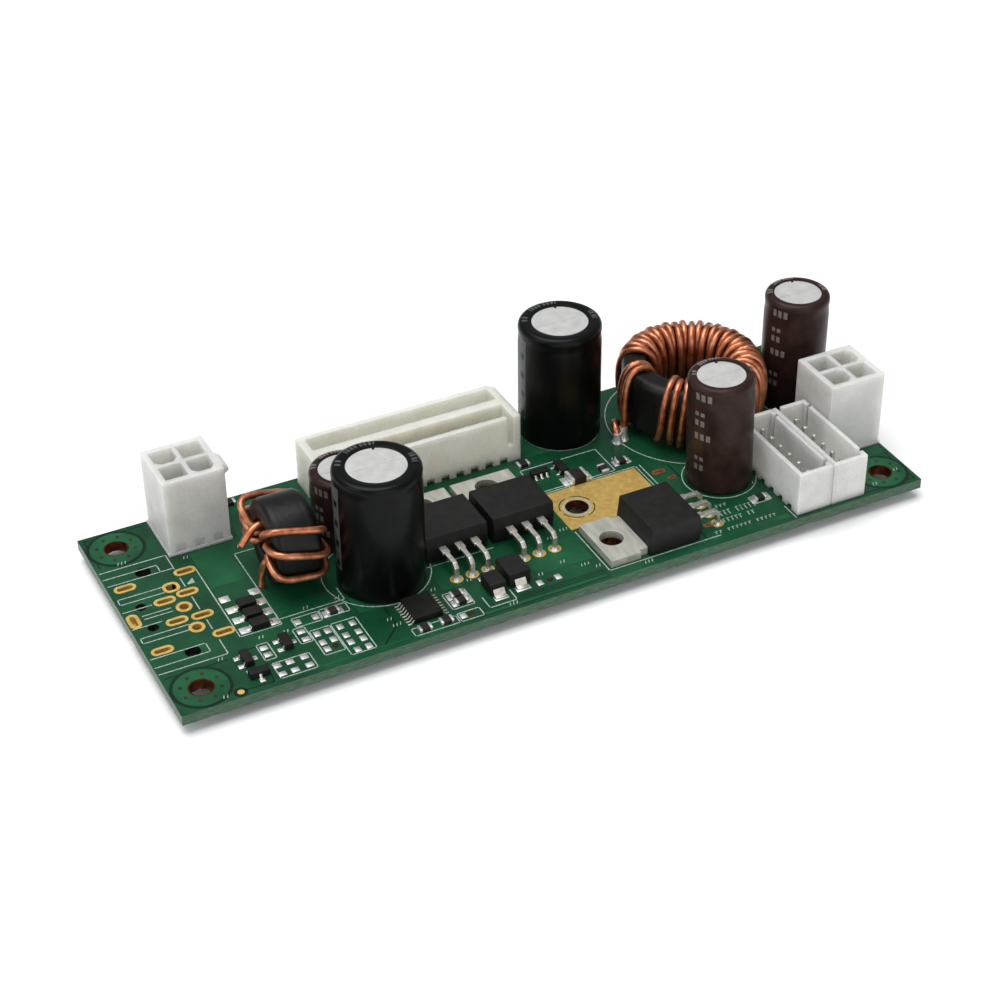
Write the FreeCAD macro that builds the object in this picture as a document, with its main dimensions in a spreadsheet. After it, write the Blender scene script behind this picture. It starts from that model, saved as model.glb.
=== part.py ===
import FreeCAD, Part
import Sketcher
import math
import os

# DC-DC converter board, in millimetres.
# Origin: centre of the four mounting holes, on the underside of the board.
# X runs along the board, Y from its front edge to its back edge, Z up through the parts.

Vector = FreeCAD.Vector
DOC = FreeCAD.newDocument("Converter")
SHEET = DOC.addObject("Spreadsheet::Sheet", "Sizes")


# Sizes that drive the model

SIZES = {
    # Board
    "board_length": 120.0,
    "board_width": 44.5,
    "board_thick": 1.6,
    "hole_inset": 4.5,
    "hole_radius": 1.75,
    # Cut leads below the board and the solder round them
    "stub": 1.8,
    "joint_foot": 0.45,
    "joint_skin": 0.1,
    # Bare gold pad of the unfitted transistor
    "pad_thick": 0.06,
    "pad_left": 6.2,
    "pad_right": 22.5,
    "pad_front": -9.25,
    "pad_back": 0.65,
    "pad_hole_x": 9.74,
    "pad_hole_y": -4.37,
    # Unfitted power jack: plated slots and bare peg holes
    "slot_length": 2.5,
    "slot_width": 0.9,
    "slot_corner": 0.3,
    "jack_hole": 0.74,
    "peg_radius": 1.15,
    "guide_radius": 0.8,
    # 2 x 2 power headers
    "power_size": 9.6,
    "power_height": 12.8,
    "power_floor": 2.4,
    "power_pitch": 4.2,
    "power_cavity": 3.5,
    "power_key": 0.8,
    "power_flange": 0.2,
    "power_flange_thick": 0.5,
    "power_pin": 1.07,
    "power_pin_rise": 9.6,
    "latch_width": 3.6,
    "latch_offset": -2.0,
    "latch_reach": 0.95,
    "latch_height": 1.9,
    "latch_ledge": 0.6,
    "window_width": 1.5,
    "window_height": 1.2,
    "window_depth": 0.35,
    "window_pitch": 2.9,
    "left_power_x": -44.3,
    "left_power_y": 16.95,
    "right_power_x": 55.0,
    "right_power_y": -6.1,
    # Long two-row signal header
    "signal_x": -8.55,
    "signal_y": 15.95,
    "signal_length": 33.3,
    "signal_width": 10.0,
    "signal_height": 8.2,
    "signal_floor": 1.9,
    "signal_wall": 0.9,
    "signal_rib": 1.7,
    "signal_end_wall": 1.3,
    "signal_ways": 12,
    "signal_pitch": 2.5,
    "signal_pin": 0.64,
    "signal_pin_rise": 6.9,
    "signal_key_width": 0.9,
    "signal_key_depth": 5.2,
    "signal_notch_width": 1.35,
    "signal_notch_height": 0.95,
    "signal_notch_depth": 0.8,
    "signal_corner_cut": 1.1,
    # Two shrouded output headers side by side
    "output_x": 43.95,
    "output_front": -21.6,
    "output_length": 17.4,
    "output_width": 5.95,
    "output_gap": 0.1,
    "output_height": 7.3,
    "output_floor": 1.6,
    "output_wall": 0.7,
    "output_ways": 6,
    "output_pitch": 2.5,
    "output_pin": 0.64,
    "output_pin_rise": 5.9,
    "output_slit": 0.65,
    "output_slit_inset": 1.5,
    "output_slit_depth": 4.4,
    "output_notch_width": 1.2,
    "output_notch_height": 0.8,
    "output_notch_depth": 0.6,
    # Standing choke
    "choke_x": -35.4,
    "choke_y": -0.05,
    "choke_rise": 7.1,
    "choke_radius": 6.5,
    "choke_bore": 3.4,
    "choke_width": 6.9,
    "choke_round": 0.9,
    "choke_wire": 0.58,
    "choke_gap": 0.1,
    "choke_bend": 0.8,
    "choke_lead_out": 0.25,
    "choke_lead_rise": 1.9,
    "choke_lead_spread": 0.7,
    "choke_end_reach": 2.6,
    "choke_slack": 0.9,
    # Lying main inductor
    "inductor_x": 37.4,
    "inductor_y": 9.25,
    "inductor_radius": 10.95,
    "inductor_bore": 6.9,
    "inductor_height": 9.7,
    "inductor_lift": 1.35,
    "inductor_round": 1.2,
    "inductor_wire": 0.52,
    "inductor_gap": 0.08,
    "inductor_layer": 1.0,
    "inductor_bend": 1.0,
    "inductor_first": 219.0,
    "inductor_step": 8.35,
    "inductor_turns": 35,
    # Wire ends of the inductor, by angle and distance from its axis
    "entry_turn": 179.0,
    "entry_angle": 183.2,
    "entry_radius": 12.42,
    "entry_rise": 2.2,
    "exit_turn": 530.5,
    "exit_angle": 184.2,
    "exit_radius": 13.64,
    "exit_rise": 2.4,
    # Electrolytic capacitors
    "large_can_radius": 6.1,
    "small_can_radius": 4.7,
    "sleeve_thick": 0.4,
    "sleeve_shoulder": 0.7,
    "can_lift": 0.3,
    "large_rim": 2.1,
    "small_rim": 1.45,
    "bung_inset": 0.9,
    "bung_thick": 1.5,
    "large_lead_pitch": 5.0,
    "small_lead_pitch": 5.0,
    "cap_lead": 0.4,
    "bus_beyond_header": 9.3,
    "lean_left": 1.5,
    # Power transistors lying flat
    "body_width": 10.0,
    "body_length": 8.8,
    "body_thick": 4.5,
    "body_draft": 0.35,
    "tab_length": 6.4,
    "tab_thick": 1.3,
    "tab_hole": 1.8,
    "tab_hole_inset": 2.75,
    "tab_notch": 0.6,
    "tab_notch_length": 1.4,
    "tab_inside": 5.0,
    "tab_inside_width": 8.0,
    "leg_pitch": 2.54,
    "leg_width": 0.75,
    "leg_shoulder": 1.2,
    "leg_shoulder_length": 1.6,
    "leg_thick": 0.5,
    "leg_rise": 2.5,
    "leg_reach": 4.8,
    "side_leg_reach": 4.2,
    "leg_bend": 0.7,
    "left_transistor_x": -11.6,
    "middle_transistor_x": -0.66,
    "rear_transistor_y": 7.95,
    "side_transistor_x": 6.95,
    "side_transistor_y": -15.1,
    # Controller chip
    "chip_x": -21.7,
    "chip_y": -16.25,
    "chip_width": 4.4,
    "chip_length": 5.0,
    "chip_thick": 0.95,
    "chip_lift": 0.12,
    "chip_span": 6.4,
    "chip_lead_width": 0.24,
    "chip_lead_thick": 0.15,
    "chip_foot": 0.55,
    "chip_pitch": 0.65,
    "chip_side_leads": 8,
    # Diodes
    "large_diode_x": -6.6,
    "large_diode_y": -15.15,
    "large_diode_width": 3.5,
    "large_diode_length": 4.5,
    "large_diode_height": 2.3,
    "small_diode_x": -10.35,
    "small_diode_y": -16.35,
    "small_diode_width": 2.6,
    "small_diode_length": 3.3,
    "small_diode_height": 2.0,
    "diode_lift": 0.15,
    "diode_terminal_width": 1.8,
    "diode_terminal_reach": 1.15,
    "diode_terminal_thick": 0.3,
    # Row of three rectifiers
    "rectifier_x": -43.45,
    "rectifier_first_y": -8.95,
    "rectifier_pitch": 2.55,
    "rectifier_count": 3,
    "rectifier_length": 2.6,
    "rectifier_width": 1.75,
    "rectifier_height": 1.1,
    "rectifier_reach": 0.75,
    "rectifier_terminal": 0.9,
    # Small transistors: body width is across the leads
    "small_body_width": 1.3,
    "small_body_length": 2.9,
    "small_body_height": 1.05,
    "small_lead_width": 0.42,
    "small_lead_reach": 0.62,
    "small_lead_thick": 0.16,
    "small_lead_spread": 0.95,
    "small_lift": 0.08,
    # Six-leaded driver and the flat power coil beside it
    "driver_x": 8.6,
    "driver_y": 5.65,
    "coil_x": 13.2,
    "coil_y": 2.05,
    "coil_length": 3.0,
    "coil_width": 2.6,
    "coil_height": 1.2,
    "coil_terminal": 0.5,
    # Chip resistors and capacitors
    "chip_part_length": 2.0,
    "chip_part_width": 1.25,
    "chip_part_height": 0.6,
    "chip_cap_length": 0.42,
    # Tinned pads with no part
    "bare_pad_length": 1.15,
    "bare_pad_width": 0.95,
    "bare_pad_height": 0.12,
}

# Places of the small parts: name, x, y, and the turn in quarter turns
SMALL_TRANSISTORS = (
    ("signal_a", -47.9, -15.3, 0),
    ("signal_b", -41.7, -14.4, 0),
    ("signal_c", -47.5, -18.9, 1),
    ("signal_d", 12.2, 5.4, 0),
)
CHIP_PARTS = (
    ("chip_part_a", -33.1, -10.8, 0),
    ("chip_part_b", 21.5, 3.0, 0),
    ("chip_part_c", 35.3, -15.2, 0),
    ("chip_part_d", -15.85, -15.5, 0),
    ("chip_part_e", -15.85, -17.1, 0),
    ("chip_part_f", -23.1, -20.35, 0),
    ("chip_part_g", -19.7, -20.2, 0),
    ("chip_part_h", -36.6, 20.6, 0),
    ("chip_part_i", 18.0, 2.4, 1),
    ("chip_part_j", 7.6, 9.2, 0),
)
BARE_PADS = (
    ("bare_a", -44.8, -13.85, 1),
    ("bare_b", -44.8, -15.45, 1),
    ("bare_c", -44.6, -18.3, 1),
    ("bare_d", -44.6, -20.2, 1),
    ("bare_e", -42.7, -18.3, 1),
    ("bare_f", -42.7, -20.2, 1),
    ("bare_g", -40.5, -18.2, 1),
    ("bare_h", -40.5, -20.1, 1),
    ("bare_i", -38.4, -10.7, 0),
    ("bare_j", -35.7, -10.7, 0),
    ("bare_k", -38.8, -12.9, 1),
    ("bare_l", -38.8, -14.7, 1),
    ("bare_m", -37.0, -14.4, 0),
    ("bare_n", -35.4, -14.4, 0),
    ("bare_o", -37.0, -16.5, 0),
    ("bare_p", -35.4, -16.5, 0),
    ("bare_q", -37.0, -18.1, 0),
    ("bare_r", -33.5, -14.4, 0),
    ("bare_s", -31.6, -14.4, 0),
    ("bare_t", -33.5, -16.5, 0),
    ("bare_u", -31.6, -16.5, 0),
    ("bare_v", -33.5, -18.2, 0),
    ("bare_w", -31.6, -18.2, 0),
    ("bare_x", -33.3, -20.1, 0),
    ("bare_y", -31.6, -20.1, 0),
    ("bare_z", -45.7, -1.0, 0),
    ("bare_1", -17.0, -20.15, 0),
    ("bare_2", -3.9, -18.4, 0),
    ("bare_3", -0.9, -18.3, 0),
)
JACK_SLOTS = (
    ("slot_a", -57.5, 7.95, 0),
    ("slot_b", -48.4, 7.95, 0),
    ("slot_c", -53.4, 2.55, 0),
    ("slot_d", -49.8, 3.05, 0),
    ("slot_e", -58.9, 0.05, 1),
    ("slot_f", -53.4, -2.55, 0),
    ("slot_g", -49.7, -2.85, 0),
    ("slot_h", -57.5, -7.85, 0),
    ("slot_i", -48.4, -7.85, 0),
)
JACK_HOLES = (
    ("hole_a", -51.4, 0.05, "jack_hole"),
    ("hole_b", -51.4, -5.15, "jack_hole"),
    ("hole_c", -51.5, 5.15, "jack_hole"),
    ("guide_a", -56.9, 2.75, "guide_radius"),
    ("guide_b", -56.9, -2.45, "guide_radius"),
)
JACK_PEGS = (
    ("peg_a", -53.9, 10.45, "peg_radius"),
    ("peg_b", -53.8, -9.95, "peg_radius"),
)
# The bus capacitor stands beyond the right end of the signal header
BUS_X = SIZES["signal_x"] + SIZES["signal_length"] / 2 + SIZES["bus_beyond_header"]
# Capacitors: name, size family, x, y, can height, turn of the lead row in degrees
CAPACITORS = (
    ("input_capacitor", "large", -23.6, -6.75, 20.0, 90.0),
    ("bus_capacitor", "large", BUS_X, 15.75, 20.0, 0.0),
    ("front_output_capacitor", "small", 32.8, -7.4, 18.9, 90.0),
    ("rear_output_capacitor", "small", 54.7, 6.55, 19.7, 0.0),
    ("filter_capacitor", "small", -23.9, 5.15, 12.3, 90.0),
)


# Sizes with their cell formulas

class Size:
    """A length with its number and the formula that gives it in the sheet."""

    def __init__(self, value, text):
        self.value = value
        self.text = text

    def __add__(self, other):
        other = as_size(other)
        return Size(self.value + other.value, "(%s + %s)" % (self.text, other.text))

    def __sub__(self, other):
        other = as_size(other)
        return Size(self.value - other.value, "(%s - %s)" % (self.text, other.text))

    def __mul__(self, other):
        other = as_size(other)
        return Size(self.value * other.value, "(%s * %s)" % (self.text, other.text))

    def __truediv__(self, other):
        other = as_size(other)
        return Size(self.value / other.value, "(%s / %s)" % (self.text, other.text))

    def __neg__(self):
        return Size(-self.value, "(0 - %s)" % self.text)


def as_size(value):
    """Any number as a size."""
    if isinstance(value, Size):
        return value
    return Size(float(value), repr(float(value)))


def fill_sheet():
    """Write each driving size into its own named cell."""
    cells = dict(SIZES)
    for family in (SMALL_TRANSISTORS, CHIP_PARTS, BARE_PADS, JACK_SLOTS, JACK_HOLES, JACK_PEGS):
        for name, x, y, _ in family:
            cells[name + "_x"] = x
            cells[name + "_y"] = y
    for name, _, x, y, height, turn in CAPACITORS:
        cells[name + "_x"] = x
        cells[name + "_y"] = y
        cells[name + "_height"] = height
        cells[name + "_turn"] = turn
    for row, (alias, value) in enumerate(cells.items(), start=1):
        SHEET.set("A%d" % row, alias)
        SHEET.set("B%d" % row, str(value))
        SHEET.setAlias("B%d" % row, alias)
    DOC.recompute()
    return {alias: Size(float(value), "Sizes.%s" % alias) for alias, value in cells.items()}


D = fill_sheet()
TOP = D["board_thick"]
ZERO = as_size(0.0)
FLAT_ENOUGH = 1e-7
EIGHT_SIDED = 2 - math.sqrt(2)


# Parametric building blocks

def bind(thing, path, size):
    """Tie one property of an object to a size."""
    thing.setExpression(path, as_size(size).text)


def place(thing, x, y, z):
    """Tie an object's place to three sizes."""
    for axis, size in zip("xyz", (x, y, z)):
        bind(thing, "Placement.Base.%s" % axis, size)


def block(name, low, high):
    """A box between two corners given as sizes."""
    box = DOC.addObject("Part::Box", name)
    bind(box, "Length", as_size(high[0]) - low[0])
    bind(box, "Width", as_size(high[1]) - low[1])
    bind(box, "Height", as_size(high[2]) - low[2])
    place(box, *low)
    return box


def post(name, x, y, width, bottom, top):
    """A square pin that stands on its centre line."""
    half = as_size(width) / 2
    return block(name, (x - half, y - half, bottom), (x + half, y + half, top))


def rod(name, x, y, radius, bottom, top):
    """A round upright cylinder."""
    cylinder = DOC.addObject("Part::Cylinder", name)
    bind(cylinder, "Radius", radius)
    bind(cylinder, "Height", as_size(top) - bottom)
    place(cylinder, x, y, bottom)
    return cylinder


def six_sided(name, x, y, radius, bottom, top):
    """An upright six-sided wire end with two of its edges facing along the board."""
    prism = DOC.addObject("Part::Prism", name)
    prism.Polygon = 6
    bind(prism, "Circumradius", radius)
    bind(prism, "Height", as_size(top) - bottom)
    place(prism, x, y, bottom)
    return prism


def slot_outline(x, y, length, width, corner):
    """A slot with cut corners, as a closed outline."""
    half_x, half_y = as_size(length) / 2, as_size(width) / 2
    return [(x - half_x + corner, y - half_y), (x + half_x - corner, y - half_y),
            (x + half_x, y - half_y + corner), (x + half_x, y + half_y - corner),
            (x + half_x - corner, y + half_y), (x - half_x + corner, y + half_y),
            (x - half_x, y + half_y - corner), (x - half_x, y - half_y + corner)]


def fused(name, shapes):
    """One solid from several that overlap or meet."""
    fusion = DOC.addObject("Part::MultiFuse", name)
    fusion.Shapes = shapes
    fusion.Refine = True
    return fusion


def grouped(name, shapes):
    """Separate solids in one group."""
    group = DOC.addObject("Part::Compound", name)
    group.Links = shapes
    return group


def cut_out(name, base, tools):
    """A base with tools cut from it."""
    cut = DOC.addObject("Part::Cut", name)
    cut.Base = base
    cut.Tool = tools[0] if len(tools) == 1 else grouped(name + "_tools", tools)
    return cut


# Sketched bodies

def new_body(name):
    """A body with room for sketched features."""
    return DOC.addObject("PartDesign::Body", name)


def plane_of(body, role):
    """One of the body's own origin planes."""
    return [item for item in body.Origin.OriginFeatures if item.Role == role][0]


def number(sketch, constraint, size):
    """Add a dimension and tie it to a size."""
    index = sketch.addConstraint(constraint)
    sketch.setExpression("Constraints[%d]" % index, as_size(size).text)


def draw_outline(sketch, points):
    """Draw a closed outline of straight edges through (u, v) points."""
    spots = [Vector(as_size(u).value, as_size(v).value, 0) for u, v in points]
    edges = [sketch.addGeometry(Part.LineSegment(spots[n - 1], spots[n]), False) for n in range(len(spots))]
    for index, (u, v) in enumerate(points):
        edge, after = edges[index], edges[(index + 1) % len(edges)]
        sketch.addConstraint(Sketcher.Constraint("Coincident", edge, 2, after, 1))
        u, v = as_size(u), as_size(v)
        number(sketch, Sketcher.Constraint("DistanceX", -1, 1, edge, 2, u.value), u)
        number(sketch, Sketcher.Constraint("DistanceY", -1, 1, edge, 2, v.value), v)


def sketch_on(body, name, role, outlines, lift=None):
    """A sketch on one of the body's planes, lifted along the plane's normal."""
    sketch = body.newObject("Sketcher::SketchObject", name)
    sketch.AttachmentSupport = [(plane_of(body, role), "")]
    sketch.MapMode = "FlatFace"
    if lift is not None:
        bind(sketch, "AttachmentOffset.Base.z", lift)
    for points in outlines:
        draw_outline(sketch, points)
    return sketch


def pad(body, name, sketch, length, midplane=False):
    """Material added along the sketch's normal."""
    feature = body.newObject("PartDesign::Pad", name)
    feature.Profile = sketch
    bind(feature, "Length", length)
    feature.Midplane = midplane
    return feature


def pocket(body, name, sketch, length):
    """Material cut away against the sketch's normal."""
    feature = body.newObject("PartDesign::Pocket", name)
    feature.Profile = sketch
    bind(feature, "Length", length)
    return feature


def turned_body(name, outline):
    """A body of revolution from an outline of (radius, height) points."""
    body = new_body(name)
    sketch = sketch_on(body, name + "_profile", "XZ_Plane", [outline])
    feature = body.newObject("PartDesign::Revolution", name + "_turned")
    feature.Profile = sketch
    feature.ReferenceAxis = (sketch, ["V_Axis"])
    feature.Angle = 360
    return body


def rectangle(low, high):
    """Four corner points of a rectangle."""
    return [(low[0], low[1]), (high[0], low[1]), (high[0], high[1]), (low[0], high[1])]


# Wires as six-sided bars over straight runs

def wire_rings(path, radius):
    """Six corners at each point of a path; two of the bar's flats face the direction given there.

    Each ring starts at the corner that lines up with the one before, so that the bar isn't twisted.
    """
    spots = [spot for spot, _ in path]
    runs = [(b - a).normalize() for a, b in zip(spots, spots[1:])]
    rings = []
    for index, (spot, flat) in enumerate(path):
        into = runs[max(index - 1, 0)]
        out = runs[min(index, len(runs) - 1)]
        mitre = (into + out).normalize()
        run = into if abs(flat.dot(into)) <= abs(flat.dot(out)) else out
        side = (flat - run * flat.dot(run)).normalize()
        rise = run.cross(side)
        ring = []
        for corner in range(6):
            angle = math.radians(60 * corner + 30)
            offset = side * (radius * math.cos(angle)) + rise * (radius * math.sin(angle))
            ring.append(spot + offset - run * (offset.dot(mitre) / run.dot(mitre)))
        if rings:
            shifts = [corner - spot - rings[-1][0] + spots[index - 1] for corner in ring]
            first = min(range(6), key=lambda n: (shifts[n] - into * shifts[n].dot(into)).Length)
            ring = ring[first:] + ring[:first]
        rings.append(ring)
    return rings


def facet(corners):
    """A flat face through its corners."""
    return Part.Face(Part.makePolygon(corners + corners[:1]))


def wire_solid(path, radius):
    """A wire along a path of (point, flat direction) pairs, with mitred bends."""
    rings = wire_rings(path, radius)
    faces = [facet(rings[0]), facet(rings[-1])]
    for lower, upper in zip(rings, rings[1:]):
        for corner in range(6):
            after = (corner + 1) % 6
            a, b, c, d = lower[corner], lower[after], upper[after], upper[corner]
            across = (b - a).cross(d - a)
            if abs(across.normalize().dot(c - a)) < FLAT_ENOUGH:
                faces.append(facet([a, b, c, d]))
            else:
                faces.append(facet([a, b, c]))
                faces.append(facet([a, c, d]))
    solid = Part.Solid(Part.makeShell(faces))
    if solid.Volume < 0:
        solid.reverse()
    return solid


def shaped(name, solids):
    """A document object for shapes worked out from the sheet."""
    item = DOC.addObject("Part::Feature", name)
    item.Shape = solids[0] if len(solids) == 1 else Part.makeCompound(solids)
    return item


# Board

def lead_holes(places, prefix):
    """Cutters for square pins: each place is (x, y, width)."""
    through = D["pad_thick"]
    return [post("%s_hole%d" % (prefix, n), x, y, width, -through, TOP + through)
            for n, (x, y, width) in enumerate(places)]


def grid(count, pitch, centre):
    """Evenly spaced places about a centre."""
    return [centre + pitch * (n - (count - 1) / 2) for n in range(count)]


def power_pin_places(side):
    """Places of a power header's four pins."""
    return [(x, y) for x in grid(2, D["power_pitch"], D[side + "_power_x"])
            for y in grid(2, D["power_pitch"], D[side + "_power_y"])]


def signal_rows():
    """The two pin rows of the signal header."""
    cavity = (D["signal_width"] - D["signal_wall"] * 2 - D["signal_rib"]) / 2
    offset = D["signal_rib"] / 2 + cavity / 2
    return [D["signal_y"] - offset, D["signal_y"] + offset]


def signal_pin_places():
    """Places of the signal header's pins."""
    columns = grid(int(D["signal_ways"].value), D["signal_pitch"], D["signal_x"])
    return [(x, y) for y in signal_rows() for x in columns]


def output_centre(side):
    """Centre line of one output header: side is -1 for the inner one, 1 for the outer."""
    half = (D["output_width"] + D["output_gap"]) / 2
    return D["output_x"] + half * side


def output_pin_places(side):
    """Places of one output header's pins."""
    middle = D["output_front"] + D["output_length"] / 2
    rows = grid(int(D["output_ways"].value), D["output_pitch"], middle)
    return [(output_centre(side), y) for y in rows]


def lead_pair(name, family):
    """The two lead places of a capacitor."""
    half = D[family + "_lead_pitch"] / 2
    x, y = D[name + "_x"], D[name + "_y"]
    turn = D[name + "_turn"]
    return [on_circle(x, y, half, turn), on_circle(x, y, -half, turn)]


def transistor_axes():
    """For each transistor: the tab edge's centre and the direction from tab to legs."""
    rear = D["rear_transistor_y"]
    return {
        "left": (D["left_transistor_x"], rear, 0, -1, D["leg_reach"]),
        "middle": (D["middle_transistor_x"], rear, 0, -1, D["leg_reach"]),
        "side": (D["side_transistor_x"], D["side_transistor_y"], 1, 0, D["side_leg_reach"]),
    }


def leg_places(which):
    """Where the three legs enter the board."""
    x, y, ahead_x, ahead_y, out = transistor_axes()[which]
    reach = D["tab_length"] + D["body_length"] + out
    spots = []
    for step in (-1, 0, 1):
        aside = D["leg_pitch"] * step
        spots.append((x + reach * ahead_x - aside * ahead_y, y + reach * ahead_y + aside * ahead_x))
    return spots


def choke_lead_places():
    """Where three of the choke's wire ends enter the board; the fourth ends in the air."""
    outside = choke_side() + D["choke_lead_out"]
    spread = D["choke_lead_spread"]
    x, y = D["choke_x"], D["choke_y"]
    return [(x - outside, y - spread), (x + outside, y - spread * 2), (x + outside, y + spread * 2)]


def choke_side():
    """Distance of the wire's centre from the middle of the choke, along the board."""
    return D["choke_width"] / 2 + D["choke_wire"] + D["choke_gap"]


def on_circle(x, y, radius, degrees):
    """A place on a circle about a centre, as sizes."""
    across = as_size(round(math.cos(math.radians(degrees.value)), 9))
    along = as_size(round(math.sin(math.radians(degrees.value)), 9))
    return x + radius * across, y + radius * along


def inductor_lead_places():
    """Where the two wire ends of the inductor enter the board."""
    return [on_circle(D["inductor_x"], D["inductor_y"], D[end + "_radius"], D[end + "_angle"])
            for end in ("entry", "exit")]


def mount_places():
    """The four mounting holes."""
    x = D["board_length"] / 2 - D["hole_inset"]
    y = D["board_width"] / 2 - D["hole_inset"]
    return [(x * sx, y * sy) for sx in (-1, 1) for sy in (-1, 1)]


def jack_outlines():
    """Slots and small holes of the unfitted power jack."""
    outlines = []
    for name, _, _, turned in JACK_SLOTS:
        size = (D["slot_width"], D["slot_length"]) if turned else (D["slot_length"], D["slot_width"])
        outlines.append(slot_outline(D[name + "_x"], D[name + "_y"], *size, D["slot_corner"]))
    for name, _, _, radius in JACK_HOLES:
        across = D[radius] * 2
        outlines.append(slot_outline(D[name + "_x"], D[name + "_y"], across, across, D[radius] * EIGHT_SIDED))
    return outlines


def board():
    """The laminate with every hole and slot."""
    half_x, half_y = D["board_length"] / 2, D["board_width"] / 2
    over = D["pad_thick"]
    low, high = -over, TOP + over
    blank = new_body("board_blank")
    edge = sketch_on(blank, "board_outline", "XY_Plane", [rectangle((-half_x, -half_y), (half_x, half_y))])
    pad(blank, "board_sheet", edge, TOP)
    jack = sketch_on(blank, "jack_openings", "XY_Plane", jack_outlines(), lift=TOP)
    pocket(blank, "jack_cuts", jack, TOP)
    cutters = [rod("mount_hole%d" % n, x, y, D["hole_radius"], low, high)
               for n, (x, y) in enumerate(mount_places())]
    cutters.append(rod("pad_screw_hole", D["pad_hole_x"], D["pad_hole_y"], D["tab_hole"], low, high))
    side = transistor_axes()["side"]
    cutters.append(rod("tab_screw_hole", side[0] + D["tab_hole_inset"], side[1], D["tab_hole"], low, high))
    for name, _, _, radius in JACK_PEGS:
        cutters.append(rod(name + "_hole", D[name + "_x"], D[name + "_y"], D[radius], low, high))
    pins = [(x, y, D["power_pin"]) for side in ("left", "right") for x, y in power_pin_places(side)]
    pins += [(x, y, D["signal_pin"]) for x, y in signal_pin_places()]
    pins += [(x, y, D["output_pin"]) for side in (-1, 1) for x, y in output_pin_places(side)]
    cutters += lead_holes(pins, "pin")
    for which in ("left", "middle", "side"):
        for n, (x, y) in enumerate(leg_places(which)):
            cutters.append(leg_block("%s_leg_hole%d" % (which, n), which, x, y, low, high))
    for name, family, _, _, _, _ in CAPACITORS:
        for n, (x, y) in enumerate(lead_pair(name, family)):
            cutters.append(six_sided("%s_lead_hole%d" % (name, n), x, y, D["cap_lead"], low, high))
    coils = [(x, y, D["choke_wire"]) for x, y in choke_lead_places()]
    coils += [(x, y, D["inductor_wire"]) for x, y in inductor_lead_places()]
    for n, (x, y, wire) in enumerate(coils):
        cutters.append(six_sided("coil_lead_hole%d" % n, x, y, wire, low, high))
    return cut_out("board", blank, cutters)


def leg_block(name, which, x, y, bottom, top):
    """The flat upright end of a transistor leg."""
    along, across = D["leg_thick"] / 2, D["leg_width"] / 2
    if transistor_axes()[which][2]:
        return block(name, (x - along, y - across, bottom), (x + along, y + across, top))
    return block(name, (x - across, y - along, bottom), (x + across, y + along, top))


def thermal_pad():
    """The bare copper pad with the screw hole of the unfitted transistor."""
    plate = block("pad_plate", (D["pad_left"], D["pad_front"], TOP),
                  (D["pad_right"], D["pad_back"], TOP + D["pad_thick"]))
    hole = rod("pad_opening", D["pad_hole_x"], D["pad_hole_y"], D["tab_hole"], TOP, TOP + D["pad_thick"])
    return cut_out("thermal_pad", plate, [hole])


# Headers

def power_header(side, latch_ahead):
    """A 2 x 2 power header: four keyed cavities, base flange, moulded windows and latch ramp."""
    name = side + "_power_header"
    body = new_body(name)
    half = D["power_size"] / 2
    flange = half + D["power_flange"]
    base = sketch_on(body, name + "_base", "XY_Plane", [rectangle((-flange, -flange), (flange, flange))])
    pad(body, name + "_flange", base, D["power_flange_thick"])
    wall = sketch_on(body, name + "_wall", "XY_Plane", [rectangle((-half, -half), (half, half))])
    pad(body, name + "_tower", wall, D["power_height"])
    ledge = D["power_height"] - D["latch_height"]
    ramp = [(half, ledge), (half + D["latch_reach"], ledge + D["latch_ledge"]),
            (half + D["latch_reach"], ledge + D["latch_ledge"] * 2), (half, D["power_height"])]
    latch = sketch_on(body, name + "_latch_profile", "XZ_Plane", [ramp],
                      lift=-D["latch_offset"] - D["latch_width"] / 2)
    pad(body, name + "_latch", latch, D["latch_width"])
    cavity, key, step = D["power_cavity"] / 2, D["power_key"], D["power_pitch"] / 2
    outlines = []
    for index, (sx, sy) in enumerate(((-1, -1), (1, -1), (-1, 1), (1, 1))):
        x, y = step * sx, step * sy
        if index in (1, 2):
            points = [(x - cavity + key, y - cavity), (x + cavity - key, y - cavity),
                      (x + cavity, y - cavity + key), (x + cavity, y + cavity),
                      (x - cavity, y + cavity), (x - cavity, y - cavity + key)]
        else:
            points = rectangle((x - cavity, y - cavity), (x + cavity, y + cavity))
        outlines.append(points)
    cavities = sketch_on(body, name + "_cavities", "XY_Plane", outlines, lift=D["power_height"])
    pocket(body, name + "_sockets", cavities, D["power_height"] - D["power_floor"])
    pins = []
    pin = D["power_pin"] / 2
    for sx in (-1, 1):
        for sy in (-1, 1):
            x, y = step * sx, step * sy
            pins.append(rectangle((x - pin, y - pin), (x + pin, y + pin)))
    holes = sketch_on(body, name + "_pin_holes", "XY_Plane", pins, lift=D["power_floor"])
    pocket(body, name + "_pin_seats", holes, D["power_floor"])
    wide, low = D["window_width"] / 2, D["power_flange_thick"]
    windows = []
    for step_x in (-1, 0, 1):
        x = D["window_pitch"] * step_x
        windows.append(rectangle((x - wide, low), (x + wide, low + D["window_height"])))
    front = sketch_on(body, name + "_windows", "XZ_Plane", windows, lift=half)
    pocket(body, name + "_window_cuts", front, D["window_depth"])
    body.Placement = FreeCAD.Placement(Vector(), FreeCAD.Rotation(Vector(0, 0, 1), latch_ahead))
    place(body, D[side + "_power_x"], D[side + "_power_y"], TOP)
    return body


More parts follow.
